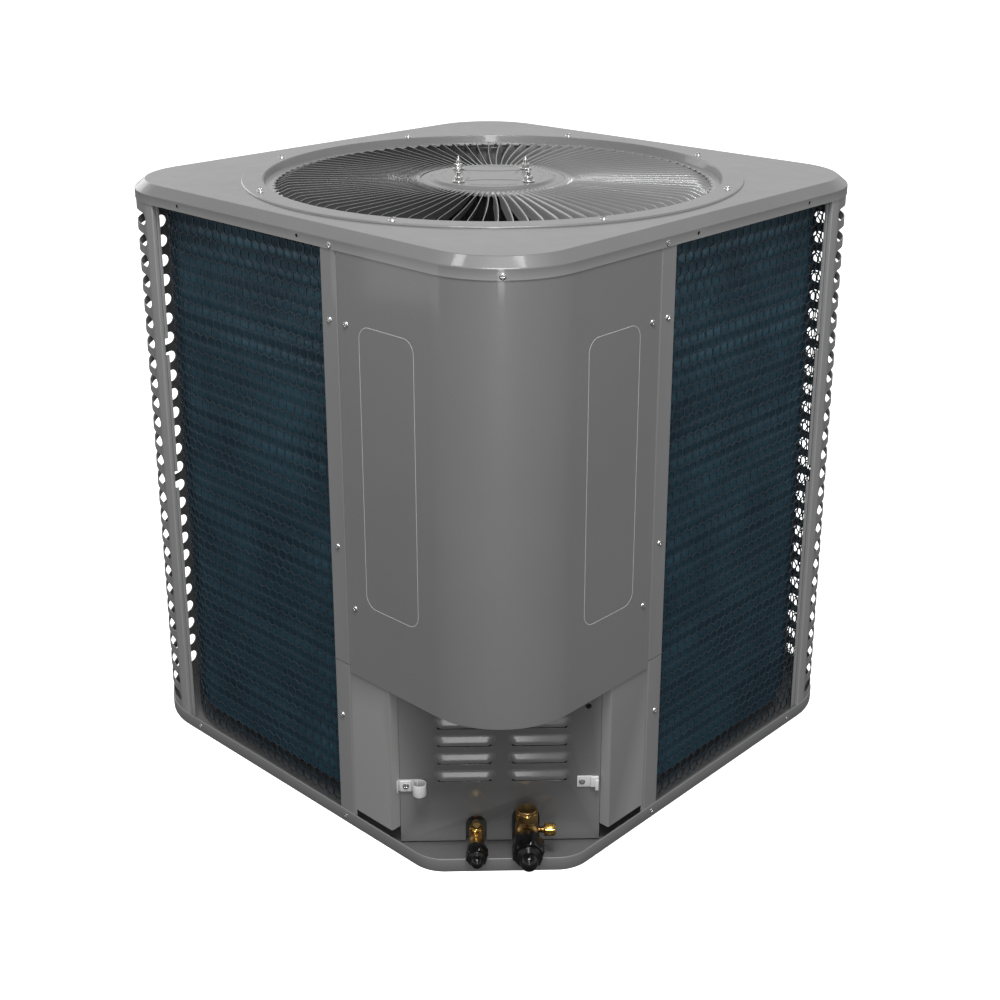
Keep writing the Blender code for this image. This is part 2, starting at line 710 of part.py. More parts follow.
def hex_cap(name, centre, across, height, look, axis="Z", bore=0.0):
    """A hexagon cap with a chamfered end and a blind bore at its foot."""
    bm = bmesh.new()
    radius = across / sqrt(3)
    x, y, z = centre
    step = {"X": (1, 0, 0), "Y": (0, 1, 0), "Z": (0, 0, 1)}[axis]
    add_cylinder(bm, centre, radius, height, axis, 6)
    cap = add(name, bm, look, SERVICE)
    collar = Vector(centre) + Vector(step) * (height / 2 + height * 0.12)
    boolean(cap, cylinder(name + "_dome", collar, radius * 0.80, height * 0.3, parent=SERVICE,
                          cutter=True, axis=axis, sides=16, radius_2=radius * 0.55), "UNION")
    if bore:
        foot = Vector(centre) - Vector(step) * height / 2
        boolean(cap, cylinder(name + "_bore", foot, bore, height * 1.2, parent=SERVICE, cutter=True,
                              axis=axis, sides=16))
    return cap


def valve_body(name, lat, d, z, scale, look, port):
    """Block with a rear spigot, a front flare, an upright stem and, on the gas side, a port."""
    body = cylinder(name, (d - 0.002, lat, z), 0.0105 * scale, 0.054, look, SERVICE, axis="X",
                    sides=20)
    tools = [cylinder(name + "_block", (d, lat, z), 0.0135 * scale, 0.024 * scale, parent=SERVICE,
                      cutter=True, axis="X", sides=6),
             cylinder(name + "_stem", (d, lat, z + 0.013 * scale), 0.0075 * scale, 0.026 * scale,
                      parent=SERVICE, cutter=True, sides=16)]
    if port:
        tools.append(cylinder(name + "_port", (d, lat + 0.013, z), 0.0042, 0.026, parent=SERVICE,
                              cutter=True, axis="Y", sides=12))
    for tool in tools:
        boolean(body, tool, "UNION")
    return body


def flare_cap(name, lat, z, start, radius, length, ball, look):
    """A black nut that covers the flare, with a ball on its end and a blind bore."""
    cap = cylinder(name, (start + length / 2, lat, z), radius, length, look, SERVICE, axis="X",
                   sides=18)
    bm = bmesh.new()
    bmesh.ops.create_uvsphere(bm, u_segments=12, v_segments=8, radius=ball,
                              matrix=Matrix.Translation((start + length + ball * 0.35, lat, z)))
    boolean(cap, add(name + "_ball", bm, None, SERVICE, cutter=True), "UNION")
    return cap


def service_valves():
    brass = material("valve_brass", BRASS, 0.25, 1.0)
    black = material("flare_cap_plastic", (0.015, 0.015, 0.016), 0.2)
    valve_body("gas_valve_body", GAS_LAT, GAS_D, GAS_Z, 1.0, brass, True)
    valve_body("liquid_valve_body", LIQ_LAT, LIQ_D, LIQ_Z, 0.66, brass, False)
    hex_cap("gas_stem_cap", (GAS_D, GAS_LAT, GAS_Z + 0.0290), 0.0225, 0.0135, brass, bore=0.0079)
    hex_cap("liquid_stem_cap", (LIQ_D, LIQ_LAT, LIQ_Z + 0.0165), 0.0145, 0.0090, brass, bore=0.0053)
    hex_cap("charge_port_cap", (GAS_D, GAS_LAT + 0.0265, GAS_Z), 0.0120, 0.0120, brass, axis="Y",
            bore=0.0046)
    flare_cap("gas_flare_cap", GAS_LAT, GAS_Z, GAS_D + 0.0254, 0.0170, 0.0200, 0.0115, black)
    flare_cap("liquid_flare_cap", LIQ_LAT, LIQ_Z, LIQ_D + 0.0254, 0.0120, 0.0130, 0.0075, black)


def valve_bracket():
    look = material("bracket_zinc", (0.5, 0.51, 0.52), 0.35, 1.0)
    back = PANEL_D - 0.0075
    bracket = block("valve_bracket", (back - 0.002, -0.062, SKIN_LOW), (back, 0.066, 0.085), look,
                    SERVICE)
    for name, lat, z, r in (("gas_bore", GAS_LAT, GAS_Z, 0.0112), ("liquid_bore", LIQ_LAT, LIQ_Z, 0.0082)):
        boolean(bracket, cylinder(name, (back, lat, z), r, 0.02, parent=SERVICE, cutter=True,
                                  axis="X", sides=20))


# Clips in the recess and electrical parts behind the cover

def cable_clips():
    steel = material("clip_steel", (0.7, 0.7, 0.7), 0.35, 1.0)
    front = PANEL_D + GAP + 0.0005
    loop = [(front, -0.1205), (front, -0.1050)]
    for k in range(9):
        a = radians(-60 + k * 40)
        loop.append((front + 0.0072 - 0.006 * cos(a), -0.0970 + 0.006 * sin(a)))
    bm = bmesh.new()
    low, high = 0.0745, 0.0905
    foot = [bm.verts.new((x, y, low)) for x, y in loop]
    edges = [bm.edges.new(pair) for pair in zip(foot, foot[1:])]
    raised = bmesh.ops.extrude_edge_only(bm, edges=edges)["geom"]
    bmesh.ops.translate(bm, vec=(0, 0, high - low),
                        verts=[v for v in raised if isinstance(v, bmesh.types.BMVert)])
    solidify(add("cable_clip_left", bm, steel, SERVICE), 0.0010, 0.0)
    block("cable_clip_right", (front, 0.0925, 0.0775), (front + 0.0035, 0.1160, 0.0930), steel, SERVICE)


def electrical():
    grey = material("box_galvanised", (0.45, 0.46, 0.47), 0.4, 1.0)
    low, high = Vector((0.336, -0.085, 0.345)), Vector((0.3945, 0.085, 0.700))
    box = block("electrical_box", low, high, grey, SERVICE)
    wall = Vector((SHEET, SHEET, SHEET))
    hollow_high = high - wall + Vector((0.02, 0, 0))
    boolean(box, block("box_hollow", low + wall, hollow_high, parent=SERVICE, cutter=True))
    block("electrical_lid", (high.x + GAP, low.y, low.z), (high.x + GAP + SHEET, high.y, high.z), grey,
          SERVICE)
    board = block("control_board", (0.350, -0.075, 0.360), (0.352, 0.075, 0.690),
                  material("board_green", (0.03, 0.12, 0.05), 0.5), SERVICE)
    for k, (y, z, wide, tall, deep) in enumerate(((-0.045, 0.62, 0.03, 0.05, 0.022),
                                                  (0.03, 0.60, 0.05, 0.06, 0.018),
                                                  (-0.03, 0.50, 0.06, 0.03, 0.012),
                                                  (0.045, 0.46, 0.03, 0.03, 0.026),
                                                  (0.0, 0.39, 0.11, 0.024, 0.014))):
        part = block(f"board_part_{k}", (0.3515, y - wide / 2, z - tall / 2),
                     (0.352 + deep, y + wide / 2, z + tall / 2), parent=SERVICE, cutter=True)
        boolean(board, part, "UNION")
    fins = bmesh.new()
    add_block(fins, (0.3315, -0.055, 0.46), (0.3357, 0.055, 0.60))
    sink = add("heat_sink", fins, material("sink_aluminium", (0.6, 0.6, 0.62), 0.35, 1.0), SERVICE)
    blades = bmesh.new()
    for k in range(9):
        y = -0.052 + k * 0.013
        add_block(blades, (0.312, y - 0.001, 0.462), (0.332, y + 0.001, 0.598))
    boolean(sink, add("sink_fins", blades, None, SERVICE, cutter=True), "UNION")


# Screws

def cover_screws():
    """Two screws down each edge of the service cover."""
    zinc = material("cover_screw_zinc", ZINC, 0.3, 1.0)
    out = SKIN + GAP + SCREW_HEIGHT / 2
    for k, z in enumerate((COVER_SCREW_HIGH, COVER_SCREW_LOW), 1):
        for side, spot, axis in (("left", (COVER_SCREW, -out, z), "Y"), ("right", (out, -COVER_SCREW, z), "X")):
            cylinder(f"cover_screw_{side}_{k}", spot, SCREW_R, SCREW_HEIGHT, zinc, axis=axis, sides=12)


base_pan()
corner_post("corner_post_right", 0)
corner_post("corner_post_back", 1)
corner_post("corner_post_left", 2)
front_posts()
side_panels()
service_cover()
valve_panel()
top_cover()
fan_guard()
fan_shroud()
fan_motor()
motor_nuts()
fan_parts()
end_face, coil_middle = coil()
copper_look, brass_look = header_and_distributor(end_face, coil_middle)
compressor()
reversing_valve(copper_look, brass_look)
pipes(copper_look)
service_valves()
valve_bracket()
cable_clips()
electrical()
cover_screws()
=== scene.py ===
"""Visual model of a top-discharge heat pump outdoor unit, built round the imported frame.

Metres, +Z up. The service corner, with the recess and its two valves, points along +X -Y.
"""
from math import atan2, cos, pi, radians, sin, sqrt, tan

import bmesh
import bpy
import numpy as np
from mathutils import Matrix, Vector


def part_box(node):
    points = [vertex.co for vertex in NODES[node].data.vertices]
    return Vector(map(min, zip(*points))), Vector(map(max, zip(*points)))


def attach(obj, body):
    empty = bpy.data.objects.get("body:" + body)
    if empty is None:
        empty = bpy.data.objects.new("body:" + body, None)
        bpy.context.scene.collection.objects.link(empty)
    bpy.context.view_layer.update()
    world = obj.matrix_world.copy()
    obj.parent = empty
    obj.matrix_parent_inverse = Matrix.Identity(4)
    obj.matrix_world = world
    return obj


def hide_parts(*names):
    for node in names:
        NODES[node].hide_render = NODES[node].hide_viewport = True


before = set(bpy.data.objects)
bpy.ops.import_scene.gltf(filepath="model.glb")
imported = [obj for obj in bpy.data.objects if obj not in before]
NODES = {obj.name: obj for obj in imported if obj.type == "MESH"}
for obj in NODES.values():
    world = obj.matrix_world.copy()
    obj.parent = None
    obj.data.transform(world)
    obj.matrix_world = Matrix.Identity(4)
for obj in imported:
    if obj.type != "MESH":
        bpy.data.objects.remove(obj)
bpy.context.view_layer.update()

# ---- sizes read from the frame
# The cover and base stand this far inside the CAD, so that the screw heads stay within its box.
SCREW_PROUD = 0.0009
(_, _, SKIRT_Z), (COVER_SIDE, _, TOP_Z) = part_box("top_cover")
HALF = COVER_SIDE - SCREW_PROUD
(_, _, COVER_LOW), (SKIN, _, SKIN_HIGH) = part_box("service_cover")
(POST_EDGE, _, SKIN_LOW), (RECESS_EDGE, _, SPLIT_Z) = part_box("side_panel_left")
RING_OUT, _, RING_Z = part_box("fan_guard")[1]
COIL_OUT, _, COIL_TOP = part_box("condenser_coil")[1]
NET_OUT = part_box("coil_guard_net")[1][0]
POST_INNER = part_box("corner_post_right")[0][0]
(_, _, MOTOR_LOW), (_, _, STUD_TOP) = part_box("fan_motor")
STUD_R_AXIS = (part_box("motor_nut_1")[0][0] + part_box("motor_nut_1")[1][0]) / 2

# ---- sizes of sheet and details
SKIN_R = 0.1062
CORNER_R = SKIN_R + HALF - SKIN
SHEET, SHEET_EDGE = 0.0012, 0.0003
ON_AXIS = 0.0002
SKIRT_INSET = 0.0008
SKIRT_HOLES = (-0.19, 0.0366)
NET_CELL, NET_ROW = 0.0150, 0.0125
FIN_PITCH, FIN_TOOTH, TUBE_PITCH, COIL_DEPTH = 0.0024, 0.0011, 0.0254, 0.0355
BASE_CUT = 0.414
BASE_CUT_R = 0.050
RIM_Z = 0.0175
CHAMFER_IN, CHAMFER_Z = 0.013, 0.743
OPENING_R = 0.2935
RING_IN = 0.2925
HUB_R, HUB_RAISED_R = 0.0955, 0.080
HUB_Z, HUB_RAISED_Z = 0.7485, 0.7515
VANES = 96
GUARD_SCREW_R = 0.306
MOTOR_RIBS = 28
BLADES, BLADE_ROOT, BLADE_TIP = 4, 0.0395, 0.2695
SLOT_COUNT, SLOT_TOP, SLOT_PITCH = 26, 0.7095, 0.0270
SLOT_HALF, SLOT_R = 0.0630, 0.0080
POST_RETURN = 0.0105
COIL_R = 0.131
COIL_FOOT = 0.030
PANEL_D, PANEL_HALF = 0.3574, 0.1204
LOUVRE_PITCH, LOUVRE_TOP = 0.0239, 0.185
LOUVRE_COLUMNS = ((-0.0795, -0.0055), (0.0095, 0.0845))
GAS_LAT, GAS_D, GAS_Z = 0.031, 0.385, 0.0365
LIQ_LAT, LIQ_D, LIQ_Z = -0.029, 0.391, 0.0315
CLIP_Z = 0.0825


# ---- materials

def set_stops(ramp, stops):
    """Stops are (position, colour or grey)."""
    while len(ramp.elements) < len(stops):
        ramp.elements.new(0.5)
    for element, (position, value) in zip(ramp.elements, stops):
        element.position = position
        element.color = (*value, 1.0) if isinstance(value, tuple) else (value, value, value, 1.0)


class Look:
    """A small builder for one procedural material."""

    def __init__(self, name, roughness=0.4, metallic=0.0, coat=0.0, coat_roughness=0.1, specular=0.5):
        self.material = bpy.data.materials.new(name)
        self.material.use_nodes = True
        self.tree = self.material.node_tree
        self.shader = self.tree.nodes["Principled BSDF"]
        self.set("Roughness", roughness)
        self.set("Metallic", metallic)
        self.set("Coat Weight", coat)
        self.set("Coat Roughness", coat_roughness)
        self.set("Specular IOR Level", specular)
        self.place = self.node("ShaderNodeTexCoord").outputs["Object"]

    def set(self, socket, value):
        self.shader.inputs[socket].default_value = value

    def node(self, kind, **values):
        made = self.tree.nodes.new(kind)
        for key, value in values.items():
            if hasattr(made, key):
                setattr(made, key, value)
            else:
                made.inputs[key.replace("_", " ")].default_value = value
        return made

    def link(self, source, target):
        self.tree.links.new(source, target)

    def noise(self, scale, detail=3.0, stretch=None):
        made = self.node("ShaderNodeTexNoise", Scale=scale, Detail=detail)
        place = self.place
        if stretch:
            mapping = self.node("ShaderNodeMapping", Scale=stretch)
            self.link(place, mapping.inputs["Vector"])
            place = mapping.outputs["Vector"]
        self.link(place, made.inputs["Vector"])
        return made.outputs["Fac"]

    def ramp(self, source, stops):
        made = self.node("ShaderNodeValToRGB")
        set_stops(made.color_ramp, stops)
        self.link(source, made.inputs["Fac"])
        return made.outputs["Color"]

    def mix(self, fac, a, b, blend="MIX"):
        made = self.node("ShaderNodeMix", data_type="RGBA", blend_type=blend)
        for source, target in ((fac, made.inputs[0]), (a, made.inputs[6]), (b, made.inputs[7])):
            if isinstance(source, (float, int)):
                target.default_value = source
            elif isinstance(source, tuple):
                target.default_value = (*source, 1.0)
            else:
                self.link(source, target)
        return made.outputs[2]

    def colour(self, source):
        self.link(source, self.shader.inputs["Base Color"])

    def rough(self, source, low, high):
        made = self.node("ShaderNodeMapRange", To_Min=low, To_Max=high)
        self.link(source, made.inputs["Value"])
        self.link(made.outputs["Result"], self.shader.inputs["Roughness"])

    def bump(self, source, distance, strength=1.0, after=None):
        made = self.node("ShaderNodeBump", Distance=distance, Strength=strength)
        self.link(source, made.inputs["Height"])
        if after:
            self.link(after, made.inputs["Normal"])
        self.link(made.outputs["Normal"], self.shader.inputs["Normal"])
        return made.outputs["Normal"]

    def edges(self, low=0.51, high=0.60):
        """White along convex edges of a dense mesh."""
        point = self.node("ShaderNodeNewGeometry").outputs["Pointiness"]
        return self.ramp(point, ((low, 0.0), (high, 1.0)))


def paint(name, tone, fleck=0.06, coat=0.45):
    """Semi-gloss polyester powder coat: fine peel, cloudy gloss, and a painted highlight along convex edges.
    """
    look = Look(name, 0.42, coat=coat, coat_roughness=0.09)
    cloud = look.noise(5.0, 4.0)
    grain = look.noise(1400.0, 2.0)
    dark, light = tone * (1 - fleck), tone * (1 + fleck)
    base = look.ramp(cloud, ((0.3, (dark, dark, dark * 1.01)), (0.7, (light, light, light * 1.01))))
    speck = look.ramp(grain, ((0.35, 0.86), (0.65, 1.0)))
    base = look.mix(1.0, base, speck, "MULTIPLY")
    # Paler along convex edges: a painted highlight on the bends.
    pale_edges = look.mix(look.edges(0.515, 0.62), base, (tone * 1.9, tone * 1.9, tone * 1.9))
    look.colour(pale_edges)
    look.rough(look.noise(38.0, 5.0), 0.36, 0.48)
    fine = look.bump(look.noise(900.0, 2.0), 0.00006, 0.5)
    look.bump(look.noise(120.0, 3.0), 0.00012, 0.35, after=fine)
    return look.material


def metal(name, colour, roughness, streak=(1, 1, 1), scratch=0.35, tarnish=None):
    """Bare or plated metal with fine tool marks and tarnish in its hollows."""
    look = Look(name, roughness, metallic=1.0)
    cloud = look.noise(60.0, 5.0)
    dull = tarnish or tuple(c * 0.62 for c in colour)
    base = look.ramp(cloud, ((0.32, dull), (0.62, colour)))
    bright = tuple(min(1.0, c * 1.25) for c in colour)
    look.colour(look.mix(look.edges(), base, bright))
    marks = look.noise(700.0, 3.0, streak)
    look.rough(marks, roughness * 0.7, roughness * 1.35)
    look.bump(marks, 0.00008, scratch)
    return look.material


def plastic(name, colour, roughness, grain=900.0, depth=0.00008, pale_edges=True, specular=0.5):
    look = Look(name, roughness, specular=specular)
    cloud = look.noise(25.0, 4.0)
    pale = tuple(min(1.0, c * 1.5 + 0.004) for c in colour)
    base = look.ramp(cloud, ((0.3, colour), (0.75, pale)))
    if pale_edges:
        base = look.mix(look.edges(), base, tuple(min(1.0, c * 2.2 + 0.02) for c in colour))
    look.colour(base)
    look.rough(look.noise(90.0, 3.0), roughness * 0.8, roughness * 1.2)
    look.bump(look.noise(grain, 2.0), depth, 0.4)
    return look.material


def fin_look():
    """Blue-green coated fins: upright fin lines crossed by a soft ripple at each tube row."""
    look = Look("coil_fins", 0.32, metallic=0.35, coat=0.2, coat_roughness=0.2)
    cloud = look.noise(9.0, 4.0)
    base = look.ramp(cloud, ((0.3, (0.010, 0.033, 0.052)), (0.7, (0.026, 0.082, 0.118))))
    waves = look.node("ShaderNodeTexWave", wave_type="BANDS", bands_direction="Z", Scale=2 * pi / 0.42,
                      Distortion=0.6)
    look.link(look.place, waves.inputs["Vector"])
    rows = look.ramp(waves.outputs["Fac"], ((0.2, 0.72), (0.8, 1.0)))
    look.colour(look.mix(1.0, base, rows, "MULTIPLY"))
    look.rough(look.noise(300.0, 2.0, (1, 1, 0.05)), 0.25, 0.45)
    first = look.bump(look.noise(900.0, 1.0, (1, 1, 0.02)), 0.0006, 0.7)
    look.bump(waves.outputs["Fac"], 0.0008, 0.5, after=first)
    return look.material


def board_look():
    look = Look("board_laminate", 0.45, coat=0.3)
    cells = look.node("ShaderNodeTexVoronoi", Scale=160.0)
    look.link(look.place, cells.inputs["Vector"])
    look.colour(look.ramp(cells.outputs["Distance"], ((0.2, (0.35, 0.30, 0.16)), (0.3, (0.02, 0.10, 0.04)))))
    look.bump(cells.outputs["Distance"], 0.0003, 0.4)
    return look.material


LOOKS = {
    "paint": paint("cabinet_paint", 0.115),
    # A darker copy of the cabinet paint for the valve panel: painted shade of the recess under the cover.
    "recess_shade_paint": paint("recess_shade_paint", 0.078),
    "frame_line": plastic("frame_line_ink", (0.165, 0.165, 0.165), 0.4),
    "fins": fin_look(),
    # Black net plastic; its blue tint is a painted reflection.
    "net": plastic("net_plastic", (0.008, 0.016, 0.024), 0.30, pale_edges=False),
    "zinc": metal("zinc_fastener", (0.60, 0.60, 0.59), 0.22),
    "galvanised": metal("galvanised_steel", (0.56, 0.57, 0.58), 0.38, scratch=0.2),
    "steel": metal("shaft_steel", (0.56, 0.56, 0.57), 0.28, (1, 1, 8)),
    "clip": paint("clip_paint", 0.42, 0.04),
    "brass": metal("valve_brass", (0.50, 0.30, 0.085), 0.22, (1, 1, 3), 0.3, (0.22, 0.12, 0.035)),
    "old_brass": metal("forged_brass", (0.40, 0.26, 0.095), 0.30, (1, 1, 1), 0.4, (0.13, 0.08, 0.032)),
    "copper": metal("copper_tube", (0.66, 0.31, 0.18), 0.3, (1, 1, 1), 0.2, (0.36, 0.17, 0.10)),
    "gloss_black": plastic("flare_cap_plastic", (0.0015, 0.0015, 0.0017), 0.16, pale_edges=False, specular=0.28),
    "fan": plastic("fan_plastic", (0.055, 0.057, 0.060), 0.45),
    "enamel_and_shade": paint("black_enamel_and_shade", 0.012, coat=0.5),
    "rubber": plastic("foot_rubber", (0.015, 0.015, 0.015), 0.75, 400.0, 0.0002),
    "inner_plastic": plastic("inner_plastic", (0.02, 0.02, 0.022), 0.5),
    "board": board_look(),
    "sink": metal("sink_aluminium", (0.66, 0.67, 0.69), 0.3, (1, 1, 6)),
}


# ---- making pieces


def finish(obj, look, node=None, body="cabinet", sharp=34.0):
    """Gives a piece its look, shading and body, and hides the CAD node that it stands for."""
    obj.data.materials.clear()
    obj.data.materials.append(LOOKS[look])
    obj.data.shade_smooth()
    obj.data.set_sharp_from_angle(angle=radians(sharp))
    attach(obj, body)
    if node:
        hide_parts(node)
    return obj


def piece(node, parts, look, **more):
    """One finished piece from several parts, named after its CAD node."""
    return finish(joined(node + "_visual", parts), look, node, **more)


def linked(name, data):
    obj = bpy.data.objects.new(name, data)
    bpy.context.scene.collection.objects.link(obj)
    return obj


def from_bmesh(name, bm):
    bmesh.ops.recalc_face_normals(bm, faces=bm.faces)
    mesh = bpy.data.meshes.new(name)
    bm.to_mesh(mesh)
    bm.free()
    return linked(name, mesh)


def from_lists(name, verts, faces):
    mesh = bpy.data.meshes.new(name)
    mesh.from_pydata([tuple(v) for v in verts], [], faces)
    mesh.validate()
    return linked(name, mesh)


def solid(name, verts, faces, merge=False):
    """A mesh from lists with its normals turned outwards, and doubled points merged if asked."""
    bm = bmesh.new()
    made = [bm.verts.new(v) for v in verts]
    for f in faces:
        bm.faces.new([made[i] for i in f])
    if merge:
        bmesh.ops.remove_doubles(bm, verts=bm.verts, dist=1e-7)
    return from_bmesh(name, bm)


def face_out(obj):
    """Turns an object's normals outwards."""
    bm = bmesh.new()
    bm.from_mesh(obj.data)
    bmesh.ops.recalc_face_normals(bm, faces=bm.faces)
    bm.to_mesh(obj.data)
    bm.free()
    return obj


def apply_modifiers(obj):
    bpy.context.view_layer.update()
    made = bpy.data.meshes.new_from_object(obj.evaluated_get(bpy.context.evaluated_depsgraph_get()))
    obj.modifiers.clear()
    obj.data = made
    return obj


def modified(obj, kind, **values):
    modifier = obj.modifiers.new(kind.lower(), kind)
    for key, value in values.items():
        setattr(modifier, key, value)
    return obj


def bevelled(obj, width, segments=2):
    return modified(obj, "BEVEL", width=width, segments=segments, limit_method="ANGLE",
                    angle_limit=radians(40), use_clamp_overlap=True)


def thickened(obj, thickness, offset):
    modified(obj, "SOLIDIFY", thickness=thickness, offset=offset, use_even_offset=True)


def cut(obj, tool, solver="EXACT"):
    apply_modifiers(modified(obj, "BOOLEAN", operation="DIFFERENCE", solver=solver, object=tool))
    bpy.data.objects.remove(tool, do_unlink=True)


def crisp(obj):
    """Lets large flat faces keep flat shading next to small bends."""
    modified(obj, "WEIGHTED_NORMAL", keep_sharp=True)


def joined(name, objs):
    """One object from several, in world space."""
    bm = bmesh.new()
    for obj in objs:
        apply_modifiers(obj)
        obj.data.transform(obj.matrix_world)
        bm.from_mesh(obj.data)
        bpy.data.objects.remove(obj, do_unlink=True)
    mesh = bpy.data.meshes.new(name)
    bm.to_mesh(mesh)
    bm.free()
    return linked(name, mesh)


def loft(loops, cap_low=False, cap_high=False, closed=True):
    verts = [p for loop in loops for p in loop]
    count = len(loops[0])
    faces = []
    for r in range(len(loops) - 1):
        for i in range(count if closed else count - 1):
            j = (i + 1) % count
            faces.append((r * count + i, r * count + j, (r + 1) * count + j, (r + 1) * count + i))
    if cap_low:
        faces.append(tuple(reversed(range(count))))
    if cap_high:
        faces.append(tuple(range((len(loops) - 1) * count, len(loops) * count)))
    return verts, faces


def circle(r, z, sides):
    return [(r * cos(2 * pi * k / sides), r * sin(2 * pi * k / sides), z) for k in range(sides)]


def rod(radius, reach, sides, place):
    """A plain round tool, as long on either side of its place."""
    return spun("rod", ((0, reach), (radius, reach), (radius, -reach), (0, -reach)), sides, place=place)


def spun(name, profile, sides=64, closed=False, place=None):
    """A turned shape from (radius, z) points; a point on the axis closes it."""
    bm = bmesh.new()
    rings = []
    for r, z in profile:
        if r < ON_AXIS:
            rings.append([bm.verts.new((0, 0, z))] * sides)
        else:
            rings.append([bm.verts.new(p) for p in circle(r, z, sides)])
    pairs = list(zip(rings, rings[1:])) + ([(rings[-1], rings[0])] if closed else [])
    for a, b in pairs:
        for i in range(sides):
            j = (i + 1) % sides
            corners = list(dict.fromkeys((a[i], a[j], b[j], b[i])))
            if len(corners) > 2:
                bm.faces.new(corners)
    obj = from_bmesh(name, bm)
    if place is not None:
        obj.data.transform(place)
    return obj


def rounded(before, corner, after, r, steps):
    """The arc that rounds a corner between its two neighbours."""
    u, v = (before - corner).normalized(), (after - corner).normalized()
    half = u.angle(v) / 2
    centre = corner + (u + v).normalized() * (r / sin(half))
    reach = r / tan(half)
    start, end = corner + u * reach - centre, corner + v * reach - centre
    whole = start.angle(end)
    return [centre + (start * sin(whole * (1 - k / steps)) + end * sin(whole * k / steps)) / sin(whole)
            for k in range(steps + 1)]


def soft_path(points, radius, steps=4):
    """A polyline with its inner corners rounded; radius may be one number or one for each corner."""
    points = [Vector(p) for p in points]
    inner = len(points) - 2
    radii = radius if isinstance(radius, (list, tuple)) else [radius] * inner
    route = [points[0]]
    for before, corner, after, r in zip(points, points[1:], points[2:], radii):
        route += rounded(before, corner, after, r, steps)
    return route + [points[-1]]


def outline(corners, corner_steps=16, edge_steps=1):
    """A closed counter-clockwise outline with an arc at each (x, y, radius) corner."""
    arcs = []
    count = len(corners)
    for i, (x, y, r) in enumerate(corners):
        before, after = Vector(corners[i - 1][:2]), Vector(corners[(i + 1) % count][:2])
        arcs.append(rounded(before, Vector((x, y)), after, r, corner_steps))
    points = []
    for i, found in enumerate(arcs):
        points += found
        start, end = found[-1], arcs[(i + 1) % count][0]
        points += [start.lerp(end, k / edge_steps) for k in range(1, edge_steps)]
    return points


def rectangle(low, high, r, inset=0.0, **steps):
    """A rounded rectangle, moved inwards by inset; r is the radius that is left."""
    x0, y0 = low[0] + inset, low[1] + inset
    x1, y1 = high[0] - inset, high[1] - inset
    return outline([(x1, y0, r), (x1, y1, r), (x0, y1, r), (x0, y0, r)], **steps)


def square(inset=0.0, **steps):
    return rectangle((-HALF, -HALF), (HALF, HALF), max(CORNER_R - inset, 0.004), inset, **steps)


def base_square(inset=0.0, **steps):
    half, r = HALF - inset, CORNER_R - inset
    reach = (BASE_CUT - inset) * sqrt(2) - half
    return outline([(half, -reach, BASE_CUT_R - inset), (half, half, r), (-half, half, r),
                    (-half, -half, r), (reach, -half, BASE_CUT_R - inset)], **steps)


def at_height(points, z):
    return [(p[0], p[1], z) for p in points]


def wall(name, path, low, high):
    """Upright sheet along a plan path, closed all round. The outer face is to the path's right."""
    path = [Vector(p[:2]) for p in path]
    inner = []
    for i, p in enumerate(path):
        before = (p - path[i - 1]).normalized() if i else (path[1] - p).normalized()
        after = (path[i + 1] - p).normalized() if i + 1 < len(path) else before
        normals = [Vector((t.y, -t.x)) for t in (before, after)]
        mean = (normals[0] + normals[1]).normalized()
        inner.append(p - mean * SHEET / max(mean.dot(normals[0]), 0.5))
    ring = path + inner[::-1]
    verts, faces = loft([at_height(ring, z) for z in (low, high)])
    n, m = len(path), len(ring)
    for base, flip in ((0, True), (m, False)):
        for i in range(n - 1):
            quad = (base + i, base + i + 1, base + m - 2 - i, base + m - 1 - i)
            faces.append(tuple(reversed(quad)) if flip else quad)
    return solid(name, verts, faces)


def turned_path(path, quarters):
    turn = Matrix.Rotation(quarters * pi / 2, 2)
    return [turn @ Vector(p[:2]) for p in path]


def mirrored_path(path):
    return [Vector((-p[1], -p[0])) for p in reversed(path)]


def quarter(half, radius, steps=20):
    centre = half - radius
    return [Vector((centre + radius * cos(k * pi / 2 / steps), centre + radius * sin(k * pi / 2 / steps)))
            for k in range(steps + 1)]


def at(place):
    return Matrix.Translation(place)


def plan_centre(node):
    """The middle of a CAD node's box in plan, at z 0."""
    low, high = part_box(node)
    return Vector(((low[0] + high[0]) / 2, (low[1] + high[1]) / 2, 0))


def spin(angle):
    return Matrix.Rotation(angle, 4, "Z")


SERVICE = spin(-pi / 4)


def service(d, lat, z):
    """A point of the service frame: out along the diagonal, right along the panel, up."""
    return SERVICE @ Vector((d, lat, z))


def along(axis):
    """Turns +Z on to an axis."""
    return Vector((0, 0, 1)).rotation_difference(Vector(axis).normalized()).to_matrix().to_4x4()


def add_box(bm, centre, size, turn=None):
    """A box in a bmesh, turned about its own centre."""
    place = at(centre) @ (turn or Matrix())
    bmesh.ops.create_cube(bm, size=1.0, matrix=place @ Matrix.Diagonal((*size, 1)))


def block(name, low, high):
    bm = bmesh.new()
    low, high = Vector(low), Vector(high)
    add_box(bm, (low + high) / 2, high - low)
    return from_bmesh(name, bm)


def smooth(t):
    t = min(max(t, 0.0), 1.0)
    return t * t * (3 - 2 * t)


# ---- base and top cover

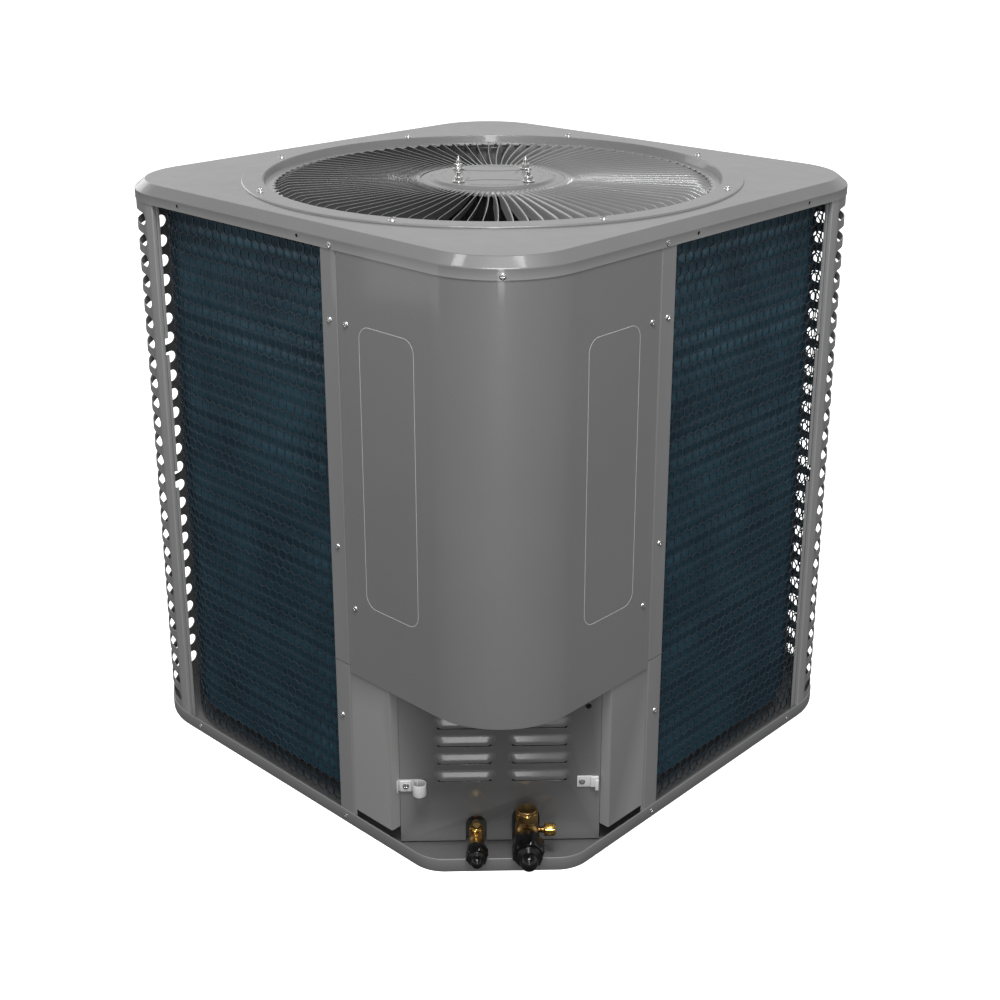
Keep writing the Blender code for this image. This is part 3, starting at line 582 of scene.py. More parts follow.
def base_pan():
    """Pressed tray with a rolled rim, shallow ribs and the flat front corner."""
    lip = 0.0016
    rise = ((0.0016, 0.0), (0.0005, 0.0004), (0.0, 0.0016), (0.0, RIM_Z - 0.0012),
            (0.0003, RIM_Z - 0.0003), (0.0008, RIM_Z), (lip, RIM_Z - 0.0002), (lip + 0.0004, RIM_Z - 0.0009),
            (lip + 0.0004, 0.0032), (lip + 0.0010, 0.0020), (lip + 0.0024, 0.0016))
    loops = [at_height(base_square(inset, corner_steps=14), z) for inset, z in rise]
    pan = from_lists("base_tray", *loft(loops, cap_low=True, cap_high=True))
    ribs = [emboss(0.0, 0.215, 0.36, 0.03), emboss(-0.215, 0.0, 0.03, 0.36)]
    stud = thread(0.0038, 0.0012, 0.050)
    studs = [spun("weld_stud", stud, 14, place=at(plan_centre(f"compressor_foot_{k}"))) for k in (1, 2, 3)]
    piece("base_pan", [pan, *ribs, *studs], "paint")


def emboss(x, y, wide, tall):
    """A low pressed rib on the tray's floor."""
    low, high = (x - wide / 2, y - tall / 2), (x + wide / 2, y + tall / 2)
    r = min(wide, tall) / 2.2
    loops = [at_height(rectangle(low, high, r - inset, inset, corner_steps=6), z)
             for inset, z in ((0.0, 0.0012), (0.002, 0.0028), (0.004, 0.0036), (0.006, 0.0038))]
    return from_lists("rib", *loft(loops, cap_low=True, cap_high=True))


def top_cover():
    """The lid: flat top with a round opening, soft bends, sloped shoulder and upright skirt."""
    profile = soft_path([(0.030, TOP_Z), (CHAMFER_IN, TOP_Z), (0.0, CHAMFER_Z), (0.0, SKIRT_Z)],
                        [0.0030, 0.0026], 5)
    steps = {"corner_steps": 24, "edge_steps": 30}
    outer = [at_height(square(p[0], **steps), p[1]) for p in profile]
    count = len(outer[0])
    top = []
    rim = outer[0]
    for blend, z in ((0.0, TOP_Z - 0.0012), (0.0, TOP_Z), (0.004, TOP_Z), (0.03, TOP_Z), (0.4, TOP_Z),
                     (0.8, TOP_Z)):
        loop = []
        for x, y, _ in rim:
            a = atan2(y, x)
            cx, cy = OPENING_R * cos(a), OPENING_R * sin(a)
            loop.append((cx + (x - cx) * blend, cy + (y - cy) * blend, z))
        top.append(loop)
    inside = ((SKIRT_INSET, SKIRT_Z), (SKIRT_INSET, CHAMFER_Z - 0.001), (CHAMFER_IN + 0.0005, TOP_Z - SHEET))
    under = [at_height(square(inset, **steps), z) for inset, z in inside]
    loops = top + outer + under
    verts, faces = loft(loops)
    last = (len(loops) - 1) * count
    faces += [(last + i, last + (i + 1) % count, (i + 1) % count, i) for i in range(count)]
    cover = solid("top_cover_visual", verts, faces)
    for side, u in ((side, u) for side in range(4) for u in SKIRT_HOLES):
        spot = turned_path([(u, -HALF)], side)[0] if side != 1 else Vector((HALF, -u))
        out = turned_path([(0, -1)], side)[0]
        cut(cover, rod(0.0023, 0.01, 16, at((*spot, SKIRT_Z + 0.0063)) @ along((*out, 0))))
    crisp(finish(cover, "paint", "top_cover", sharp=50))


# ---- guard

def guard_ring():
    """The bolted ring: soft outer step, flat, then the wall down to the vanes' lip."""
    under = RING_Z - 0.0020
    profile = soft_path([(RING_OUT, under), (RING_OUT - 0.0006, RING_Z), (RING_IN, RING_Z),
                         (RING_IN - 0.0030, RING_Z - 0.0098), (RING_IN - 0.0145, RING_Z - 0.0112)],
                        [0.0018, 0.0014, 0.0018], 5)
    back = soft_path([(RING_IN - 0.0145, RING_Z - 0.0125), (RING_IN - 0.0036, RING_Z - 0.0112),
                      (RING_IN - 0.0012, under)], [0.0022], 5)
    return spun("guard_ring", profile + back, 288, closed=True)


def vane(angle):
    """One upright slat with a thicker upper edge, dropping at its outer end."""
    stations = (0.0935, 0.0975, 0.103, 0.112, 0.125, 0.150, 0.180, 0.210, 0.240, 0.254, 0.262, 0.268,
                0.2735, 0.2785, 0.2815)
    out = Vector((cos(angle), sin(angle), 0))
    clockwise = Vector((sin(angle), -cos(angle), 0))
    up = Vector((0, 0, 1))
    loops = []
    for r in stations:
        height = 0.0042 + 0.0078 * smooth((r - 0.095) / 0.06)
        tilt = radians(20 + 50 * smooth((r - 0.0935) / 0.016))
        z = 0.7486 + 0.0018 * smooth((r - 0.095) / 0.05) - 0.0074 * smooth((r - 0.258) / 0.024)
        swing = 0.0022 * sin(pi * min(max((r - 0.095) / 0.185, 0), 1))
        across = clockwise * cos(tilt) - up * sin(tilt)
        normal = clockwise * sin(tilt) + up * cos(tilt)
        start = out * r + up * z - clockwise * swing
        upper, lower = [], []
        for t, half in ((0.0, 0.00015), (0.025, 0.00042), (0.10, 0.00058), (0.18, 0.00042), (1.0, 0.00042)):
            bow = normal * 0.0006 * sin(pi * t)
            upper.append(start + across * height * t + bow + normal * half)
            lower.append(start + across * height * t + bow - normal * half)
        loops.append(upper + lower[::-1])
    return loops


def guard_vanes():
    verts, faces = [], []
    for k in range(VANES):
        more_verts, more_faces = loft(vane(2 * pi * k / VANES), cap_low=True, cap_high=True)
        base = len(verts)
        verts += more_verts
        faces += [tuple(base + i for i in f) for f in more_faces]
    return face_out(from_lists("guard_vanes", verts, faces))


def guard_tabs():
    """Small lanced tabs between the vanes' outer ends."""
    tabs = []
    lean = Matrix.Rotation(radians(24), 4, "Y")
    for k in range(VANES):
        bm = bmesh.new()
        add_box(bm, (0.2795, 0, RING_Z - 0.0108), (0.007, 0.0046, 0.0013), lean)
        bmesh.ops.bevel(bm, geom=bm.edges[:], offset=0.0004, segments=2, affect="EDGES")
        bm.transform(spin(2 * pi * (k + 0.45) / VANES))
        tabs.append(from_bmesh(f"tab_{k}", bm))
    return joined("guard_tabs", tabs)


def hub_height(x, y):
    """Pressed hub: rim, soft step, raised disc, square panel set along the diagonal, arcs."""
    r = sqrt(x * x + y * y)
    z = HUB_Z - 0.0012 * smooth((r - 0.0905) / 0.004)
    z += (HUB_RAISED_Z - HUB_Z) * smooth((HUB_RAISED_R + 0.0025 - r) / 0.006)
    a = (x - y) / sqrt(2)
    b = (x + y) / sqrt(2)
    half = 0.036 - 0.006 * (1 - (min(abs(a), abs(b)) / 0.036) ** 2)
    edge = max(abs(a), abs(b)) - half
    z -= 0.0009 * (smooth((edge + 0.0022) / 0.0022) - smooth(edge / 0.0022))
    groove = abs(r - 0.066) - 0.0018
    if abs(abs(a) - abs(b)) > 0.030:
        z -= 0.0006 * smooth(-groove / 0.0018)
    return z


def guard_hub():
    rings, sides = 72, 192
    loops = []
    for i in range(rings, 0, -1):
        r = HUB_R * i / rings
        loops.append([(x, y, hub_height(x, y)) for x, y, _ in circle(r, 0, sides)])
    skirt = [(x, y, z - 0.0040) for x, y, z in loops[0]]
    lip = [(x * 0.975, y * 0.975, z - 0.0040) for x, y, z in loops[0]]
    flat = [(x * 0.975, y * 0.975, HUB_Z - 0.0022) for x, y, z in loops[0]]
    verts, faces = loft([flat, lip, skirt] + loops, cap_low=True, cap_high=True)
    return face_out(from_lists("guard_hub", verts, faces))


def fan_guard():
    crisp(piece("fan_guard", [guard_ring(), guard_vanes(), guard_tabs(), guard_hub()], "paint", sharp=40))


def thread(radius, low, high):
    """The profile of a threaded stud, from its tip down."""
    pitch, depth = 0.0010, 0.0005
    profile = [(0, high), (radius - depth - 0.0004, high), (radius - depth, high - 0.0006)]
    for k in range(int((high - low - 0.001) / pitch)):
        z = high - 0.0008 - k * pitch
        profile += [(radius, z - pitch * 0.3), (radius, z - pitch * 0.5), (radius - depth, z - pitch * 0.95)]
    return profile + [(radius - depth, low), (0, low)]


def hexagon(name, across, height, place, chamfer=0.0006, bore=0.0):
    """A hexagon with rounded corners and a turned chamfer on both faces."""
    radius = across / sqrt(3)
    loops = []
    count = 72
    for z, limit in ((0.0, across / 2 - chamfer * 0.2), (chamfer, radius), (height - chamfer, radius),
                     (height, across / 2 - chamfer * 0.2)):
        loop = []
        for k in range(count):
            a = 2 * pi * k / count
            wedge = (a + pi / 6) % (pi / 3) - pi / 6
            r = min(across / 2 / cos(wedge), limit, radius * 0.985)
            loop.append((r * cos(a), r * sin(a), z))
        loops.append(loop)
    if bore:
        inner = [circle(bore, z, count) for z in (height, 0.0)]
        verts, faces = loft(loops + inner + [loops[0]])
    else:
        verts, faces = loft(loops, cap_low=True, cap_high=True)
    obj = solid(name, verts, faces, merge=True)
    obj.data.transform(place)
    return obj


def motor_and_nuts():
    """Ribbed motor case with its four long studs, and a washer and nut on each."""
    low, top = MOTOR_LOW, HUB_RAISED_Z - 0.0019
    case = soft_path([(0.0001, top), (0.072, top), (0.072, top - 0.005), (0.066, top - 0.007),
                      (0.066, low + 0.022), (0.058, low + 0.010), (0.024, low + 0.007),
                      (0.024, low), (0.0085, low)], [0.001, 0.0006, 0.001, 0.006, 0.004, 0.001, 0.0008], 4)
    profile = case + [(0.0085, low + 0.018), (0, low + 0.018)]
    parts = [spun("motor_case", profile, 72)]
    for k in range(MOTOR_RIBS):
        rib = block("motor_rib", (0.0655, -0.0009, low + 0.026), (0.0700, 0.0009, top - 0.010))
        rib.data.transform(spin(2 * pi * k / MOTOR_RIBS))
        parts.append(bevelled(rib, 0.0005))
    spindle = thread(0.0028, top - 0.002, STUD_TOP - 0.004)
    pin = [(0, STUD_TOP), (0.0007, STUD_TOP - 0.0003), (0.0016, STUD_TOP - 0.0042)]
    for x, y in ((0, 1), (0, -1), (1, 0), (-1, 0)):
        spot = Vector((x, y, 0)) * STUD_R_AXIS
        parts.append(spun("stud", pin + spindle[2:], 20, place=at(spot)))
    motor = piece("fan_motor", parts, "enamel_and_shade")
    motor.data.materials.append(LOOKS["zinc"])
    for polygon in motor.data.polygons:
        if polygon.center.z > top + 0.0002:
            polygon.material_index = 1
    base = HUB_RAISED_Z + 0.0004
    flat_ring = soft_path([(0.0031, base), (0.0078, base), (0.0078, base + 0.0014), (0.0031, base + 0.0014)],
                          0.0004, 3)
    for k in range(1, 5):
        centre = plan_centre(f"motor_nut_{k}")
        washer = spun("washer", flat_ring, 40, closed=True, place=at(centre))
        nut = hexagon("nut", 0.0100, 0.0056, at(centre + Vector((0, 0, base + 0.0015))) @ spin(0.35 * k),
                      bore=0.0029)
        finish(joined(f"motor_nut_visual_{k}", [washer, nut]), "zinc", f"motor_nut_{k}")


# ---- fan and shroud

def shroud():
    top = TOP_Z - SHEET - 0.0004
    outer = soft_path([(0.3215, top), (0.2970, top), (0.2880, 0.7400), (0.2870, 0.6720),
                       (0.2902, 0.6625)], [0.010, 0.012, 0.006], 6)
    profile = [(p[0], p[1]) for p in outer]
    profile += [(r + (0.0010 if z < 0.745 else 0.0), z - (0.0010 if z > 0.745 else 0.0))
                for r, z in reversed(profile)]
    finish(spun("fan_shroud_visual", profile, 144, closed=True), "paint", "fan_shroud", sharp=50)


def propeller():
    """Swept blades with thick roots and thin edges, on a turned hub."""
    parts = []
    hub = soft_path([(0.0066, 0.6395), (0.030, 0.6395), (0.0435, 0.630), (0.0435, 0.6025),
                     (0.0066, 0.6025)], [0.003, 0.005, 0.002], 4)
    parts.append(spun("fan_hub", hub, 64, closed=True))
    for blade in range(BLADES):
        loops = []
        for s in range(19):
            t = s / 18
            r = BLADE_ROOT + (BLADE_TIP - BLADE_ROOT) * t
            span = radians(58 - 10 * t) * (1 - 0.12 * smooth((t - 0.86) / 0.14))
            pitch = 0.048 + 0.030 * sin(pi * min(t * 1.1, 1) / 2)
            middle = 0.620 + 0.058 * t ** 0.8
            upper, lower = [], []
            for c in range(17):
                u = c / 16 - 0.5
                a = 2 * pi / BLADES * blade + u * span + 0.30 * t ** 2
                z = middle + u * pitch - 0.010 * (1 - 4 * u * u)
                thick = 0.0004 + 0.0016 * (1 - abs(2 * u) ** 3) * (1 - 0.4 * t)
                upper.append((r * cos(a), r * sin(a), z + thick))
                lower.append((r * cos(a), r * sin(a), z - thick))
            loops.append(upper + lower[::-1])
        parts.append(from_lists(f"blade_{blade}", *loft(loops, cap_low=True, cap_high=True)))
    finish(face_out(joined("fan_propeller_visual", parts)), "fan", "fan_propeller", "fan")


# ---- posts and panels

def slot_tools(quarters):
    """Round-ended bars through one corner, along its diagonal."""
    bm = bmesh.new()
    for k in range(SLOT_COUNT):
        z = SLOT_TOP - k * SLOT_PITCH
        ring = []
        for side in (1, -1):
            for step in range(13):
                a = side * pi / 2 - step * pi / 12
                ring.append((side * (SLOT_HALF - SLOT_R) + SLOT_R * cos(a), z + SLOT_R * sin(a)))
        face = bm.faces.new([bm.verts.new((0.415, y, zz)) for y, zz in ring])
        made = bmesh.ops.extrude_face_region(bm, geom=[face])["geom"]
        ends = [v for v in made if isinstance(v, bmesh.types.BMVert)]
        bmesh.ops.translate(bm, vec=(0.06, 0, 0), verts=ends)
    tool = from_bmesh(f"slot_tool_{quarters}", bm)
    tool.data.transform(spin(pi / 4 + quarters * pi / 2))
    return tool


def corner_post(name, quarters):
    """Slotted post; each leg's folded edge carries a small bead and two notches."""
    reach, deep = POST_INNER, SKIN - POST_RETURN
    leg = soft_path([(deep, reach), (deep + 0.0028, reach), (deep + 0.0040, reach + 0.0011),
                     (deep + 0.0052, reach), (SKIN, reach), (SKIN, reach + 0.0016)],
                    [0.0006, 0.0006, 0.0006, 0.0012], 3)
    other = [Vector((p[1], p[0])) for p in reversed(leg)]
    path = turned_path(leg + quarter(SKIN, SKIN_R, 28) + other, quarters)
    post = wall(name + "_visual", path, SKIN_LOW, SKIN_HIGH)
    cut(post, slot_tools(quarters), "MANIFOLD")
    tool = bmesh.new()
    for low, high in ((0.535, 0.557), (0.352, 0.375)):
        for x, y in ((deep + 0.0005, reach), (reach, deep + 0.0005)):
            add_box(tool, (x, y, (low + high) / 2), (0.008, 0.008, high - low))
    notches = from_bmesh(name + "_notches", tool)
    notches.data.transform(spin(quarters * pi / 2))
    cut(post, notches, "MANIFOLD")
    finish(post, "paint", name, sharp=30)


def strip_path(inner):
    """Front post or side panel plan: return, strip, joggle behind the cover, flat."""
    deep = SKIN - SHEET - 0.0005
    return soft_path([(POST_EDGE, -SKIN + 0.013), (POST_EDGE, -SKIN), (0.0990, -SKIN),
                      (0.1004, -deep), (inner, -deep)], [0.0016, 0.0006, 0.0006], 4)


def front_posts():
    path = strip_path(0.135)
    for name, plan in (("front_post_left", path), ("front_post_right", mirrored_path(path))):
        post = wall(name + "_visual", plan, SPLIT_Z + 0.0012, SKIN_HIGH)
        finish(bevelled(post, SHEET_EDGE, 1), "paint", name)


def side_panels():
    flat = strip_path(RECESS_EDGE)
    deep = -flat[-1][1]
    path = flat[:-1] + soft_path([flat[-2], (RECESS_EDGE, -deep), (RECESS_EDGE, -0.338)], 0.0018, 5)[1:]
    for name, plan, low, high in (
            ("side_panel_left", path, (0.103, -0.36, 0.0), (0.19, -0.33, 0.0255)),
            ("side_panel_right", mirrored_path(path), (0.33, -0.19, 0.0), (0.36, -0.103, 0.0255))):
        panel = wall(name + "_visual", plan, SKIN_LOW, SPLIT_Z)
        cut(panel, block(name + "_lift", low, high))
        finish(bevelled(panel, SHEET_EDGE, 1), "paint", name)


def service_cover():
    arc = [Vector((p[0], -p[1])) for p in reversed(quarter(SKIN, SKIN_R, 48))]
    hem = 0.006
    path = soft_path([(0.1015, -SKIN + hem), (0.1015, -SKIN), (0.112, -SKIN)], 0.0014, 4)
    path += arc + mirrored_path(path)
    cover = wall("service_cover_visual", path, COVER_LOW, SKIN_HIGH)
    finish(bevelled(cover, 0.0004, 2), "paint", "service_cover", sharp=30)


def label_frames():
    """A plain rounded outline on each flat of the service cover."""
    low, high, radius = (0.1355, 0.3145), (0.2225, 0.6535), 0.016
    for side in ("left", "right"):
        loops = []
        for inset, lift in ((0.0, 0.00003), (0.0001, 0.00016), (0.0008, 0.00016), (0.0009, 0.00003)):
            ring = rectangle(low, high, radius - inset, inset, corner_steps=12)
            points = [(u, -(SKIN + lift), z) for u, z in ring]
            if side == "right":
                points = [(-y, -x, z) for x, y, z in points]
            loops.append(points)
        verts, faces = loft(loops + [loops[0]])
        finish(solid(f"cover_outline_{side}", verts, faces, merge=True), "frame_line")


# ---- valve panel

def louvre(name, y0, y1, z0):
    """A pressed hood, open along its lower edge."""
    tall, lift, curl, columns, rows = 0.0145, 0.0036, 0.0046, 48, 14
    loops = []
    for i in range(rows + 1):
        v = i / rows
        row = []
        for j in range(columns + 1):
            u = j / columns
            y = y0 + (y1 - y0) * u
            end = min(u, 1 - u) * (y1 - y0)
            side = sqrt(smooth(end / 0.0110))
            z = z0 + tall * v + curl * (1 - side) * (1 - v)
            drop = 0.5 * (1 + cos(pi * v))
            row.append((PANEL_D - 0.0001 + lift * side * drop, y, z))
        loops.append(row)
    hood = from_lists(name, *loft(loops, closed=False))
    hood.data.transform(SERVICE)
    thickened(hood, 0.0009, -1.0)
    return hood


def valve_panel():
    top = COVER_LOW + 0.022
    panel = block("panel_plate", (PANEL_D - SHEET, -PANEL_HALF, SKIN_LOW), (PANEL_D, PANEL_HALF, top))
    tools = bmesh.new()
    for y0, y1 in LOUVRE_COLUMNS:
        for k in range(5):
            z = LOUVRE_TOP - k * LOUVRE_PITCH
            add_box(tools, (PANEL_D, (y0 + y1) / 2, z + 0.0024), (0.02, y1 - y0 - 0.010, 0.0118))
    cut(panel, from_bmesh("louvre_tool", tools))
    for lat, z, r in ((GAS_LAT, GAS_Z - 0.0015, 0.0165), (LIQ_LAT, LIQ_Z - 0.0055, 0.0125)):
        cut(panel, block("notch_tool", (PANEL_D - 0.01, lat - r, -0.01), (PANEL_D + 0.01, lat + r, z)))
        cut(panel, rod(r, 0.02, 48, at((PANEL_D, lat, z)) @ along((1, 0, 0))))
    cut(panel, rod(0.0035, 0.02, 24, at((PANEL_D, 0.1045, 0.1865)) @ along((1, 0, 0))))
    panel.data.transform(SERVICE)
    hoods = [louvre(f"louvre_{c}_{k}", y0, y1, LOUVRE_TOP - k * LOUVRE_PITCH)
             for c, (y0, y1) in enumerate(LOUVRE_COLUMNS) for k in range(5)]
    # The darker paint on the panel and its hoods is painted shade of the recess.
    piece("valve_panel", [bevelled(panel, SHEET_EDGE, 1), *hoods], "recess_shade_paint", sharp=38)


# ---- coil and net

def wrap(outer, radii, end):
    """The plan path from the right front post round three corners to the left front post."""
    path = [Vector((outer, -end))]
    for quarters, radius in enumerate(radii):
        path += turned_path(quarter(outer, radius, 24), quarters)
    return path + [Vector((end, -outer))]


def lengthwise(path):
    """Cumulative length, and a function from length to (point, outward normal)."""
    marks = [0.0]
    for a, b in zip(path, path[1:]):
        marks.append(marks[-1] + (b - a).length)
    xs, ys = [p.x for p in path], [p.y for p in path]

    def place(s):
        x, y = np.interp(s, marks, xs), np.interp(s, marks, ys)
        ahead = np.interp(s + 0.0008, marks, xs), np.interp(s + 0.0008, marks, ys)
        behind = np.interp(s - 0.0008, marks, xs), np.interp(s - 0.0008, marks, ys)
        tx, ty = ahead[0] - behind[0], ahead[1] - behind[1]
        size = np.hypot(tx, ty)
        return np.stack([x, y]), np.stack([ty / size, -tx / size])

    return marks[-1], place


def coil():
    """The fin pack: upright fins as a fine saw-tooth, in waves at each tube row."""
    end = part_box("coil_end_plate_left")[0][0] + 0.0003
    path = wrap(COIL_OUT - 0.0004, (COIL_R - 0.0004,) * 3, end)
    length, place = lengthwise(path)
    top = COIL_TOP - 0.008
    columns = int(length / FIN_PITCH) * 2
    s = np.linspace(0, length, columns + 1)
    (x, y), (nx, ny) = place(s)
    tooth = np.where(np.arange(columns + 1) % 2 == 0, 0.0, FIN_TOOTH)
    rows = 61
    verts, faces = [], []
    for j in range(rows):
        z = COIL_FOOT + (top - COIL_FOOT) * j / (rows - 1)
        wave = 0.0004 * cos(2 * pi * z / TUBE_PITCH)
        depth = tooth + wave
        verts.append(np.stack([x - nx * depth, y - ny * depth, np.full_like(x, z)], axis=1))
    for z in (top, COIL_FOOT):
        verts.append(np.stack([x - nx * COIL_DEPTH, y - ny * COIL_DEPTH, np.full_like(x, z)], axis=1))
    verts = np.concatenate(verts)
    wide = columns + 1
    total = rows + 2
    for j in range(total):
        k = (j + 1) % total
        faces += [(j * wide + i, j * wide + i + 1, k * wide + i + 1, k * wide + i) for i in range(columns)]
    faces.append(tuple(j * wide for j in reversed(range(total))))
    faces.append(tuple(j * wide + columns for j in range(total)))
    fins = from_lists("coil_fins_visual", verts, faces)
    fins.data.materials.clear()
    fins.data.materials.append(LOOKS["fins"])
    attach(fins, "cabinet")
    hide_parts("condenser_coil")


def net():
    """Extruded hexagon netting: each cell is a closed ring of flat strands."""
    path = wrap(NET_OUT, (0.1035, 0.1035, COIL_R + 0.016), POST_EDGE - 0.001)
    length, place = lengthwise(path)
    row, strand, thick, foot = NET_ROW, 0.00080, 0.0012, 0.012
    columns = int(length / NET_CELL)
    rows = int((COIL_TOP - 0.014) / row)
    half, peak = length / columns / 2, row * 0.34
    side, tip = row / 2 - peak / 2, row / 2 + peak / 2
    hexagons = []
    for wide, low, high in ((half, side, tip), (half - strand, side - strand * 0.5, tip - strand * 1.15)):
        hexagons += [(wide, -low), (wide, low), (0, high), (-wide, low), (-wide, -low), (0, -high)]
    verts, faces = [], []
    for j in range(rows):
        z0 = foot + (j + 0.5) * row
        shift = j % 2
        for i in range(columns - shift):
            s0 = (2 * i + 1 + shift) * half
            spots = [(s0 + ds, z0 + dz) for ds, dz in hexagons]
            base = len(verts)
            verts += [(s, z, 0.0) for s, z in spots] + [(s, z, thick) for s, z in spots]
            for k in range(6):
                m = (k + 1) % 6
                faces.append((base + k, base + m, base + 6 + m, base + 6 + k))
                faces.append((base + 6 + k, base + 6 + m, base + 18 + m, base + 18 + k))
                faces.append((base + 12 + m, base + 12 + k, base + 18 + k, base + 18 + m))
    flat = np.array(verts)
    (x, y), (nx, ny) = place(np.clip(flat[:, 0], 0.0, length))
    sway = 0.0007 * np.sin(flat[:, 0] * 23.0 + np.sin(flat[:, 1] * 17.0) * 2.0) - 0.0007
    depth = flat[:, 2] - sway
    made = np.stack([x - nx * depth, y - ny * depth, np.clip(flat[:, 1], 0.005, COIL_TOP + 0.008)], axis=1)
    mesh = bpy.data.meshes.new("coil_net_visual")
    mesh.from_pydata(made.tolist(), [], faces)
    bm = bmesh.new()
    bm.from_mesh(mesh)
    bmesh.ops.remove_doubles(bm, verts=bm.verts, dist=0.00002)
    bm.to_mesh(mesh)
    bm.free()
    finish(linked("coil_net_visual", mesh), "net", "coil_guard_net")


# ---- valves

def brass_cap(node, look, place, across, height, crown):
    """Hexagon cap with a turned crown."""
    hexa = hexagon("cap_hex", across, height, place, chamfer=0.0012)
    r = across / 2 * 0.94
    dome = soft_path([(r, height - 0.0004), (r * 0.96, height + crown * 0.55), (r * 0.55, height + crown),
                      (0.0001, height + crown)], [crown * 0.35, crown * 0.3], 5)
    top = spun("cap_crown", dome + [(0, height - 0.0004)], 48, place=place)
    piece(node, [hexa, top], look, body=node + "_body")


def valve_body(tag, lat, d, z, s, port):
    """Forged block, stem neck, threaded charge port and the flare it screws to."""
    turn = SERVICE @ at((d, lat, z))
    out = turn @ along((1, 0, 0))
    core = soft_path([(0.0001, 0.0225), (0.0095 * s, 0.0225), (0.0112 * s, 0.020), (0.0112 * s, 0.012),
                      (0.0138 * s, 0.008), (0.0138 * s, -0.010), (0.0105 * s, -0.014), (0.0105 * s, -0.026),
                      (0.0001, -0.026)],
                     [0.0006, 0.0006, 0.0012, 0.0015, 0.0015, 0.0012, 0.0006], 4)
    parts = [spun("body_core", core, 40, place=out)]
    neck = ((0, 0.0258), (0.0066, 0.0258), (0.0072, 0.0248), (0.0072, 0.018), (0.0098, 0.013),
            (0.0112, 0.006), (0.0112, -0.008), (0.0085, -0.012), (0, -0.0125))
    parts.append(spun("stem_neck", [(r * s, z * s) for r, z in neck], 40, place=turn))
    if port:
        side = turn @ along((0, 1, 0))
        pipe = [(0, 0.0255), (0.0036, 0.0255), *thread(0.0042, 0.017, 0.025)[2:-2]]
        pipe += [(0.0033, 0.0165), (0.0033, 0.0140), (0.0058, 0.0128), (0.0068, 0.0040), (0, 0.0030)]
        parts.append(spun("port_neck", pipe, 32, place=side))
    finish(joined(f"{tag}_valve_visual", parts), "old_brass", f"{tag}_valve_body", sharp=30)


def flare_cap(tag, lat, z, low, across, length, ball):
    """Black hexagon nut with a glossy ball end."""
    place = SERVICE @ at((low, lat, z)) @ along((1, 0, 0))
    nut = hexagon("flare_hex", across, length * 0.80, place @ spin(0.26), chamfer=0.0022)
    r = across / 2
    skirt = soft_path([(r * 0.99, 0.0002), (r * 0.99, 0.0030), (r * 0.93, 0.0040)], 0.0008, 3)
    collar = [(0, 0.0002), *skirt, (0, 0.0040)]
    neck = soft_path([(r * 0.90, length * 0.78), (r * 0.86, length * 0.90), (ball * 0.86, length),
                      (ball * 0.80, length + 0.0004)], 0.001, 4)
    shoulder = [(0, length * 0.70), (r * 0.90, length * 0.70), *neck, (0, length + 0.0004)]
    centre = length + ball * 0.35
    globe = [(ball * sin(pi * k / 24) if 0 < k < 24 else 0, centre + ball * cos(pi * k / 24))
             for k in range(25)]
    parts = [nut, spun("flare_collar", collar, 48, place=place),
             spun("flare_shoulder", shoulder, 48, place=place), spun("flare_ball", globe, 48, place=place)]
    piece(f"{tag}_flare_cap", parts, "gloss_black", body=f"{tag}_flare_cap_body")


def valves():
    valve_body("gas", GAS_LAT, GAS_D, GAS_Z, 1.0, True)
    valve_body("liquid", LIQ_LAT, LIQ_D, LIQ_Z, 0.66, False)
    gas_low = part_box("gas_stem_cap")[0][2] - 0.0070
    gas = at(service(GAS_D, GAS_LAT, gas_low)) @ SERVICE @ spin(0.5)
    brass_cap("gas_stem_cap", "old_brass", gas, 0.0258, 0.0120, 0.0042)
    liquid_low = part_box("liquid_stem_cap")[0][2] - 0.0062
    liquid = at(service(LIQ_D, LIQ_LAT, liquid_low)) @ SERVICE @ spin(0.2)
    brass_cap("liquid_stem_cap", "brass", liquid, 0.0162, 0.0088, 0.0024)
    port = at(service(GAS_D, GAS_LAT + 0.0208, GAS_Z)) @ SERVICE @ along((0, 1, 0))
    brass_cap("charge_port_cap", "brass", port, 0.0142, 0.0125, 0.0018)
    flare_cap("gas", GAS_LAT, GAS_Z, GAS_D + 0.0256, 0.0340, 0.0330, 0.0108)
    flare_cap("liquid", LIQ_LAT, LIQ_Z, LIQ_D + 0.0256, 0.0240, 0.0200, 0.0075)


# ---- clips and screws

def clips():
    """Left: a strap folded at its edge and rolled into an upright loop. Right: a stepped clamp."""
    front = PANEL_D + 0.0004
    low, high, roll = CLIP_Z - 0.0074, CLIP_Z + 0.0082, 0.0078
    centre = Vector((front + 0.0005 + roll, -0.0965))
    path = soft_path([(front + 0.0050, -0.1232), (front + 0.0005, -0.1232), (front + 0.0005, centre.y)],
                     0.0008, 3)[:-1]
    path += [Vector((centre.x - roll * cos(a), centre.y + roll * sin(a)))
             for a in (radians(k) for k in range(0, 351, 9))]
    strap = from_lists("clip_strap", *loft([at_height(path, z) for z in (low, high)], closed=False))
    thickened(strap, 0.0010, 0.0)
    bevelled(strap, 0.00035, 2)
    pad = block("clip_pad", (front + 0.0008, -0.1196, low), (front + 0.0020, -0.1068, high - 0.0012))
    for part in (strap, bevelled(pad, 0.0005, 3)):
        part.data.transform(SERVICE)
    piece("cable_clip_left", [strap, pad], "clip")
    plate = block("clamp_plate", (front, 0.0925, CLIP_Z - 0.0050), (front + 0.0013, 0.1120, CLIP_Z + 0.0100))
    step = block("clamp_step", (front, 0.1085, CLIP_Z - 0.0044), (front + 0.0036, 0.1182, CLIP_Z + 0.0100))
    hook = block("clamp_hook", (front, 0.1140, CLIP_Z - 0.0086), (front + 0.0046, 0.1182, CLIP_Z + 0.0060))
    parts = [plate, step, hook]
    for part in parts:
        part.data.transform(SERVICE)
        bevelled(part, 0.0009, 3)
    piece("cable_clip_right", parts, "clip")


